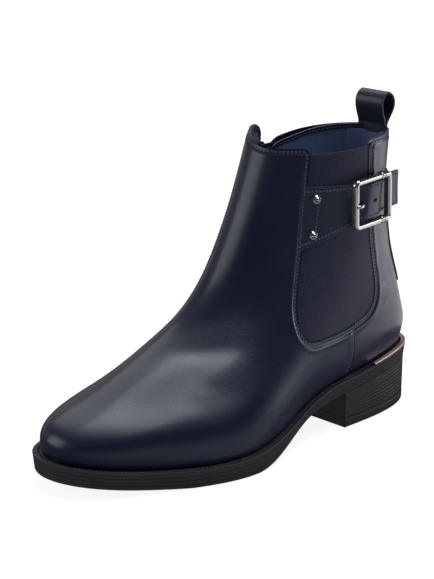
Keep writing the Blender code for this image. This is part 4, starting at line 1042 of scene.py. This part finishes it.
# Studs: turned cones with flats, on a round foot; the section gives shares of radius and height.
studs = dict(spots=(("studUpper", "stud_upper", 62.6, 130.5), ("studLower", "stud_lower", 66.3, 111.8)),
             radius=2.3, high=2.6, foot=0.5, sides=10, flatFrom=0.3)
studSection = np.array([(0.0, 0.0), (0.93, 0.0), (1.0, 0.06), (1.0, 0.17), (0.93, 0.24), (0.86, 0.26),
                        (0.80, 0.34), (0.34, 0.90), (0.22, 0.97), (0.0, 1.0)])
studTurn = np.linspace(0.0, fullTurn, 3 * studs["sides"], endpoint=False)
halfFlat = np.pi / studs["sides"]
flats = np.cos(halfFlat) / np.cos((studTurn + halfFlat) % (2.0 * halfFlat) - halfFlat)
radius = studSection[:, :1] * studs["radius"]
height = studSection[:, 1:] * studs["high"] + studs["foot"]
shaped = np.where(height > studs["foot"] + studs["flatFrom"] * studs["high"], radius * flats, radius)
for name, node, studAngle, studZ in studs["spots"]:
    studAngle = math.radians(studAngle)
    studPoint, _, _, studOut = lastFrame(studAngle, riseAt(studAngle, studZ))
    studRight = unit(np.cross(upright, studOut))
    studUp = np.cross(studOut, studRight)
    points = (studPoint + (shaped * np.cos(studTurn))[..., None] * studRight
              + (shaped * np.sin(studTurn))[..., None] * studUp + height[..., None] * studOut)
    addMetal(name, [sheet(points, wrap=True)], node, sharp=28)
print("strap, buckle and studs")

# Back: a strip down the seam, rounded at its foot; its near-black leather is painted shade for a back that
# faces away from the light.
back = dict(half=10.0, heights=(68.0, 157.2), low=-0.2, high=1.3, round=0.45, endRound=4.0, bend=29.1,
            wide=20.0, wideSteps=14, long=88.0, longSteps=80)
backAcross = 2.0 * spread(back["wide"], back["wideSteps"]) - 1.0
backFall = filletFall((1.0 - np.abs(backAcross)) * back["half"], back["endRound"])
backZ = between((back["heights"][0] + backFall, back["heights"][1]),
                spread(back["long"], back["longSteps"])[:, None])
backAngle = np.broadcast_to(np.pi + math.asin(back["half"] / back["bend"]) * backAcross, backZ.shape)
addPiece("backStrip", plate(backAngle, riseAt(backAngle, backZ), back["low"], back["high"], back["round"]),
         paintedShadeLeather, stands=("backstay",))

# Loop: a band bent into a loop that stands in the collar; its side line gives height and half-width.
loop = dict(wide=20.6, thick=1.3, x=22.2, seat=159.1, top=17.9, round=0.42, steps=110, bend=62.0,
            curved=(-2.0, 12.0),
            side=np.array([(-5.0, 0.66), (-2.0, 0.66), (0.65, 0.7), (3.4, 1.9), (6.8, 3.6), (10.1, 4.7),
                           (13.5, 4.6), (16.0, 3.3), (17.4, 1.5)]))
sideZ, sideHalf = loop["seat"] + loop["side"][:, 0], loop["side"][:, 1]
innerSide, outerSide = [np.stack([loop["x"] + way * sideHalf, sideZ], axis=1) for way in (-1.0, 1.0)]
loopXz = smoothLine(np.concatenate([innerSide, [(loop["x"], loop["seat"] + loop["top"])], outerSide[::-1]]),
                    loop["steps"])
loopRun = unit(np.gradient(loopXz, axis=0))
# the band's section, with steps across its two flat faces
corner = roundBox(loop["wide"], loop["thick"], loop["round"], steps=5)
flat = np.linspace(-0.5, 0.5, 9)[1:-1] * (loop["wide"] - 2 * loop["round"])
upper, lower = [np.stack([-way * flat, np.full(len(flat), way * loop["thick"] / 2)], axis=1)
                for way in (1.0, -1.0)]
loopSection = np.concatenate([corner[:5], upper, corner[5:15], lower, corner[15:]])
# near its foot the band takes on the collar's curve
curved = smoothStep(loop["seat"] + loop["curved"][0], loop["seat"] + loop["curved"][1], loopXz[:, 1])
curve = (1.0 - curved)[:, None] / loop["bend"]
loopPoints = np.stack([
    loopXz[:, :1] - loopSection[:, 1] * loopRun[:, 1:] + curve * loopSection[:, 0] ** 2,
    np.broadcast_to(loopSection[:, 0], (loop["steps"], len(loopSection))),
    loopXz[:, 1:] + loopSection[:, 1] * loopRun[:, :1],
], axis=-1)
addPiece("pullLoop", [sheet(loopPoints, wrap=True), fan(loopPoints[0]), fan(loopPoints[-1])],
         strapLeather, stands=("pull_loop",), closed=True, sharp=50)
print("backstay and pull loop")

# Zip on the inner side: tape, closed coil, slider, and the tab that hangs on the slider's hinge.
zipper = dict(line=np.array([(66.0, 92.0), (90.0, 87.2), (110.0, 84.0), (150.0, 80.0), (170.0, 78.2)]),
              ends=(60.0, 170.0), half=6.5, depth=-1.1, rimDeep=0.9, foot=64.0, top=150.2, rows=120,
              columns=40)


def zipAt(z):
    # the table's cubic: the zip's x by height
    return spline(zipper["line"][:, 0], zipper["line"][:, 1], np.clip(z, *zipper["ends"]))


def beads(points, run, normal, long, wide, high, sides=6, rings=5):
    # a rounded rod at each point: an ellipsoid's rings along run, flattened along normal
    run = unit(run)
    beside = np.cross(normal, run)
    station = np.linspace(-1.0, 1.0, rings)
    girth = np.sqrt(np.clip(1.0 - np.abs(station) ** 2.6, 0.0, 1.0))
    turning = np.linspace(0.0, fullTurn, sides, endpoint=False)
    shape = (points[:, None, None] + (long / 2.0 * station)[None, :, None, None] * run[:, None, None]
             + (girth[:, None] * np.cos(turning) * wide / 2.0)[None, ..., None] * beside[:, None, None]
             + (girth[:, None] * np.sin(turning) * high / 2.0)[None, ..., None] * normal[:, None, None])
    one = gridFaces(rings, sides, wrap=True)
    faces = (one[None] + (np.arange(len(points)) * rings * sides)[:, None, None]).reshape(-1, 4)
    return shape.reshape(-1, 3), faces


tapeZ = np.linspace(zipper["foot"], zipper["top"], zipper["rows"])
tapeAcross = np.linspace(-zipper["half"], zipper["half"], zipper["columns"])
tapeAngle, tapeRise = angleRise(zipAt(tapeZ)[:, None] + tapeAcross, tapeZ[:, None], -1.0)
tapePoints = skin(tapeAngle, tapeRise, np.full(tapeAngle.shape, zipper["depth"]))
tapeUv = np.stack(np.broadcast_arrays(tapeAcross, tapeZ[:, None]), axis=-1)
tapeFoot = np.full(zipper["columns"], zipper["depth"] - zipper["rimDeep"])
tapeRim = np.stack([tapePoints[-1], skin(tapeAngle[-1], tapeRise[-1], tapeFoot)])
addPiece("zipTape", [sheet(tapePoints) + (tapeUv,), sheet(tapeRim) + (tapeUv[[-1, -1]],)],
         tapeCloth, stands=("zip_tape",))

# Slider and coil: the teeth lie left and right of the middle in turn, up to just below the slider.
slider = dict(z=146.0, lift=0.4, thick=2.6, hingeOut=2.1, hingeUp=2.4, ends=5.5, steps=60,
              half=[(2.6, 4.6), (3.95, 2.2), (4.0, 0.4), (3.2, -2.6), (2.45, -5.2), (2.0, -5.5)],
              rows=[(1.0, 0.0), (1.0, 0.5), (1.0, 0.95), (0.9, 1.05), (0.9, 1.5), (1.0, 1.6), (1.0, 2.25),
                    (0.97, 2.5), (0.90, 2.6)])
coil = dict(pitch=0.625, aside=0.55, lift=0.3, start=1.0, stop=3.0, size=(2.9, 0.72, 1.0), steps=(8, 7))
coilZ = np.arange(zipper["foot"] + coil["start"], slider["z"] - coil["stop"], coil["pitch"])
coilSide = np.where(np.arange(len(coilZ)) % 2 == 0, 1.0, -1.0)
coilAngle, coilRise = angleRise(zipAt(coilZ) + coil["aside"] * coilSide, coilZ, -1.0)
coilPoint, coilAround, _, coilNormal = lastFrame(coilAngle, coilRise)
coilPoint = coilPoint + (zipper["depth"] + coil["lift"]) * coilNormal
addPiece("zipCoil", [beads(coilPoint, coilAround, coilNormal, *coil["size"], *coil["steps"])],
         tapeCloth, stands=("zip_tape",), closed=True)
sliderAngle, sliderRise = angleRise(zipAt(slider["z"]), slider["z"], -1.0)
sliderPoint, _, _, sliderOut = lastFrame(sliderAngle, sliderRise)
sliderOut = unit(sliderOut * np.array([1.0, 1.0, 0.0]))
sliderAlong = np.cross(upright, sliderOut)
sliderBack = sliderPoint + slider["lift"] * sliderOut


def onSlider(along, up, out):
    # back of the slider + steps along its three directions
    return (sliderBack + np.asarray(along)[..., None] * sliderAlong + np.asarray(up)[..., None] * upright
            + np.asarray(out)[..., None] * sliderOut)


# the slider's plate: a shield outline, the same left and right, stacked with a rounded edge (size, lift)
shieldTop, shieldFoot = (0.0, slider["ends"]), (0.0, -slider["ends"])
shieldBack = [(-x, z) for x, z in slider["half"][::-1]]
shieldLine = [shieldTop, *slider["half"], shieldFoot, *shieldBack, shieldTop]
shield = smoothLine(shieldLine, slider["steps"] + 1)[:-1]
shieldPoints = np.stack([onSlider(size * shield[:, 0], size * shield[:, 1], lift)
                         for size, lift in slider["rows"]])
sliderParts = [sheet(shieldPoints, wrap=True), fan(shieldPoints[0]), fan(shieldPoints[-1])]
# two ears with round ends hold the hinge
ears = dict(radius=1.9, foot=2.4, steps=15, apart=2.7,
            rows=((0.9, -0.6), (1.0, -0.42), (1.0, 0.42), (0.9, 0.6)))
hinge = onSlider(0.0, slider["hingeUp"], slider["thick"] + slider["hingeOut"])
earTurn = np.radians(np.linspace(-90, 90, ears["steps"]))
earRound = np.stack([ears["radius"] * np.cos(earTurn), ears["radius"] * np.sin(earTurn)], axis=1)
ear = np.concatenate([[(-ears["foot"], -ears["radius"])], earRound, [(-ears["foot"], ears["radius"])]])
for side in (-1.0, 1.0):
    middle = hinge + side * ears["apart"] * sliderAlong
    earRows = np.stack([middle + step * sliderAlong + (size * ear[:, :1]) * sliderOut
                        + (size * ear[:, 1:]) * upright for size, step in ears["rows"]])
    sliderParts += [sheet(earRows, wrap=True), fan(earRows[0]), fan(earRows[-1])]
addPiece("zipSlider", sliderParts, zipSteel, stands=("zip_slider",), closed=True, sharp=38)

# Tab: a flat bar below a round eye, a little thicker near its rounded end, hanging from the hinge.
tab = dict(eye=1.2, eyeRound=1.25, eyeLeast=0.03, eyeSteps=9, neck=2.0, long=16.5, steps=30, half=0.65,
           thicker=0.15, thickZone=(-12.0, -15.0), wide=1.8, endFrom=15.0, endRound=1.6, endLeast=0.05,
           round=0.35)
tabUp = np.concatenate([np.linspace(tab["eye"], -tab["eye"], tab["eyeSteps"]),
                        np.linspace(-tab["neck"], -tab["long"], tab["steps"])])
tabEye = np.sqrt(np.clip(tab["eyeRound"] ** 2 - tabUp ** 2, tab["eyeLeast"], None))
tabBar = tab["half"] + tab["thicker"] * smoothStep(*tab["thickZone"], tabUp)
tabHalf = np.where(tabUp > -tab["neck"], tabEye, tabBar)
tabEnd = np.clip(-tabUp - tab["endFrom"], 0.0, tab["long"] - tab["endFrom"]) / tab["endRound"]
tabWidth = tab["wide"] * np.sqrt(np.clip(1.0 - tabEnd ** 2, tab["endLeast"], 1.0))
tabSection = roundBox(2.0, 2.0, tab["round"])[None] * np.stack([tabWidth, tabHalf], axis=1)[:, None]
addPiece("zipTab", sweep(hinge + tabUp[:, None] * upright, sliderAlong, sliderOut, tabSection),
         zipSteel, stands=("zip_pull_tab",), body="zip_pull", closed=True, sharp=45)
print("zip")

# Stitches: short rods in rows just inside the panels' and the strap's edges.
seam = dict(pitch=2.1, size=(1.7, 1.2, 0.6), lean=0.06, proud=0.05, crowd=0.15, lowest=0.012, foldIn=1.3,
            foldSlope=105.0, foldProud=0.08, strapStart=0.6, strapEdges=(0.085, 0.915),
            edgeRun=(0.0, 0.985, 500), strapEnds=(0.093, 0.985), endRun=(0.1, 0.9, 120))


def alongLine(angle, rise, pitch):
    # a line on the last cut into even steps of its own length
    run = runLength(lastPoint(angle, rise))
    even = np.arange(pitch, run[-1] - pitch / 2.0, pitch)
    return np.interp(even, run, angle), np.interp(even, run, rise)


def stitchRow(angle, rise, lift):
    # a rod on the line at each step, turned a little out of it
    point, _, _, normal = lastFrame(angle, rise)
    point = point + np.asarray(lift)[..., None] * normal
    run = unit(np.gradient(point, axis=0))
    return beads(point, run + seam["lean"] * np.cross(normal, run), normal, *seam["size"])


def panelRow(angle, rise, border, lift):
    # the border moved in, without the places where it crowds another edge
    inAngle, inRise = insetLine(angle, rise, panel["stitchIn"])
    way = borderWay(lastPoint(inAngle, inRise), border)
    keep = (way > panel["stitchIn"] - seam["crowd"]) & (inRise > seam["lowest"])
    inAngle, inRise = alongLine(inAngle[keep], inRise[keep], seam["pitch"])
    return stitchRow(inAngle, inRise, np.full(len(inAngle), lift - panel["stitchPull"] + seam["proud"]))


addPiece("panelStitches", [panelRow(*vampLines), panelRow(*quarterLines)], threadBlue,
         closed=True)
foldAngle, foldRise = alongLine(np.append(ring, ring[0] + fullTurn),
                                np.append(liningRise, liningRise[0]) - seam["foldIn"] / seam["foldSlope"],
                                seam["pitch"])
foldLift = np.full(len(foldAngle), lining["low"] - seam["foldProud"])
addPiece("foldStitches", [stitchRow(foldAngle, foldRise, foldLift)], threadBlue, closed=True)
# rows along both edges of the strap, across its base and across its tail
strapLines = [strapGrid(np.linspace(*seam["edgeRun"]), np.array([across])) for across in seam["strapEdges"]]
strapLines += [strapGrid(np.array([along]), np.linspace(*seam["endRun"])) for along in seam["strapEnds"]]
strapParts = []
for lineAngle, lineZ, _, lineFace in strapLines:
    lineAngle, lineFace = lineAngle.ravel(), lineFace.ravel()
    lineRise = riseAt(lineAngle, lineZ.ravel())
    run = runLength(lastPoint(lineAngle, lineRise))
    even = np.arange(seam["strapStart"], run[-1], seam["pitch"])
    strapParts.append(stitchRow(np.interp(even, run, lineAngle), np.interp(even, run, lineRise),
                                np.interp(even, run, lineFace) + seam["proud"]))
addPiece("strapStitches", strapParts, threadBlue, closed=True)

# Fine stitches on the ledge beside the upper, in front of the metal strip.
welt = dict(pitch=2.0, outset=2.3, back=math.radians(122.0), size=(1.3, 0.6, 0.6))
weltRun = np.arange(welt["pitch"] / 2.0, np.interp(welt["back"], sideTurn, sideRun), welt["pitch"])
weltHalf = np.interp(weltRun, sideRun, sideTurn)
weltPoint = soleRow(np.concatenate([-weltHalf[::-1], weltHalf]), welt["outset"], 0.0, 0.0)
weltUp = np.broadcast_to(upright, weltPoint.shape)
addPiece("weltStitches", [beads(weltPoint, np.gradient(weltPoint, axis=0), weltUp, *welt["size"])],
         weltThread, closed=True)
print("stitches")

# Camera: the photograph's own viewpoint, turned to the boot and drawn closer.
view = dict(place=(0.6270, 0.6884, 0.3410), bearing=math.radians(42.31), height=math.radians(15.17),
            focal=1455.56, middle=(263.23, 351.31), aim=(247.5, 360.0), closer=1.25, frameHigh=579.0,
            sensor=36.0)
toCamera = np.array([math.cos(view["height"]) * math.sin(view["bearing"]),
                     math.cos(view["height"]) * math.cos(view["bearing"]), math.sin(view["height"])])
toRight = np.array([-math.cos(view["bearing"]), math.sin(view["bearing"]), 0.0])
toUp = np.cross(toCamera, toRight)
aim = (-toCamera + (view["aim"][0] - view["middle"][0]) / view["focal"] * toRight
       - (view["aim"][1] - view["middle"][1]) / view["focal"] * toUp)


def turnTo(direction):
    # the turn that looks along a direction with the top upwards
    return Vector(direction).to_track_quat("-Z", "Y").to_euler()


cameraData = bpy.data.cameras.new("camera")
cameraData.sensor_width = view["sensor"]
cameraData.lens = view["focal"] * view["closer"] / view["frameHigh"] * view["sensor"]
camera = bpy.data.objects.new("camera", cameraData)
bpy.context.collection.objects.link(camera)
camera.location = view["place"]
camera.rotation_euler = turnTo(aim.tolist())
bpy.context.scene.camera = camera

# Pale floor.
floorMesh = bpy.data.meshes.new("floor")
floorCorners = [(-4.0, -4.0, 0.0), (4.0, -4.0, 0.0), (4.0, 4.0, 0.0), (-4.0, 4.0, 0.0)]
floorMesh.from_pydata(floorCorners, [], [(0, 1, 2, 3)])
floor = bpy.data.objects.new("floor", floorMesh)
bpy.context.collection.objects.link(floor)
floorMesh.materials.append(newFinish("floorWhite", {
    "Base Color": (0.30, 0.30, 0.30, 1.0), "Roughness": 0.9, "Emission Color": (1.0, 1.0, 1.0, 1.0),
    "Emission Strength": 0.90}))
# the gloss mirrors the soft boxes, not the floor
floor.visible_glossy = False

# Soft studio light: a wide panel overhead, boxes low and high behind, one at either side, and two panels that
# lie on the floor facing up. Each row: place, the spot it faces, width and height, power.
lamps = dict(
    overhead=((-0.72, -0.12, 2.0), (-0.72, -0.12, 0.0), (1.44, 2.2), 41.0),
    behind=((-0.40, -1.30, 0.11), (0.0, 0.0, 0.08), (1.2, 0.22), 0.22),
    highBehind=((-0.55, -1.35, 1.16), (0.0, 0.0, 0.06), (0.9, 1.1), 3.0),
    leftBox=((0.90, -0.75, 0.50), (0.0, 0.0, 0.10), (0.9, 0.7), 3.2),
    rightBox=((-1.10, 0.36, 0.14), (-0.08, 0.0, 0.10), (0.6, 0.30), 1.6),
    lowRight=((-0.53, 0.16, 0.01), (-0.53, 0.16, 1.0), (0.66, 0.62), 1.0),
    lowFront=((0.42, 0.58, 0.002), (0.42, 0.58, 1.0), (1.35, 1.04), 1.1),
)
for name, (place, spot, size, power) in lamps.items():
    lampData = bpy.data.lights.new(name, "AREA")
    lampData.shape = "RECTANGLE"
    lampData.size, lampData.size_y = size
    lampData.energy = power
    lamp = bpy.data.objects.new(name, lampData)
    bpy.context.collection.objects.link(lamp)
    lamp.location = place
    lamp.visible_camera = False
    lamp.rotation_euler = turnTo(Vector(spot) - Vector(place))
world = bpy.data.worlds.new("studio")
bpy.context.scene.world = world
world.use_nodes = True
setSockets(world.node_tree.nodes["Background"], {"Color": (1.0, 1.0, 1.0, 1.0), "Strength": 0.06})
bpy.context.scene.view_settings.view_transform = "Standard"
print("camera, floor and light")
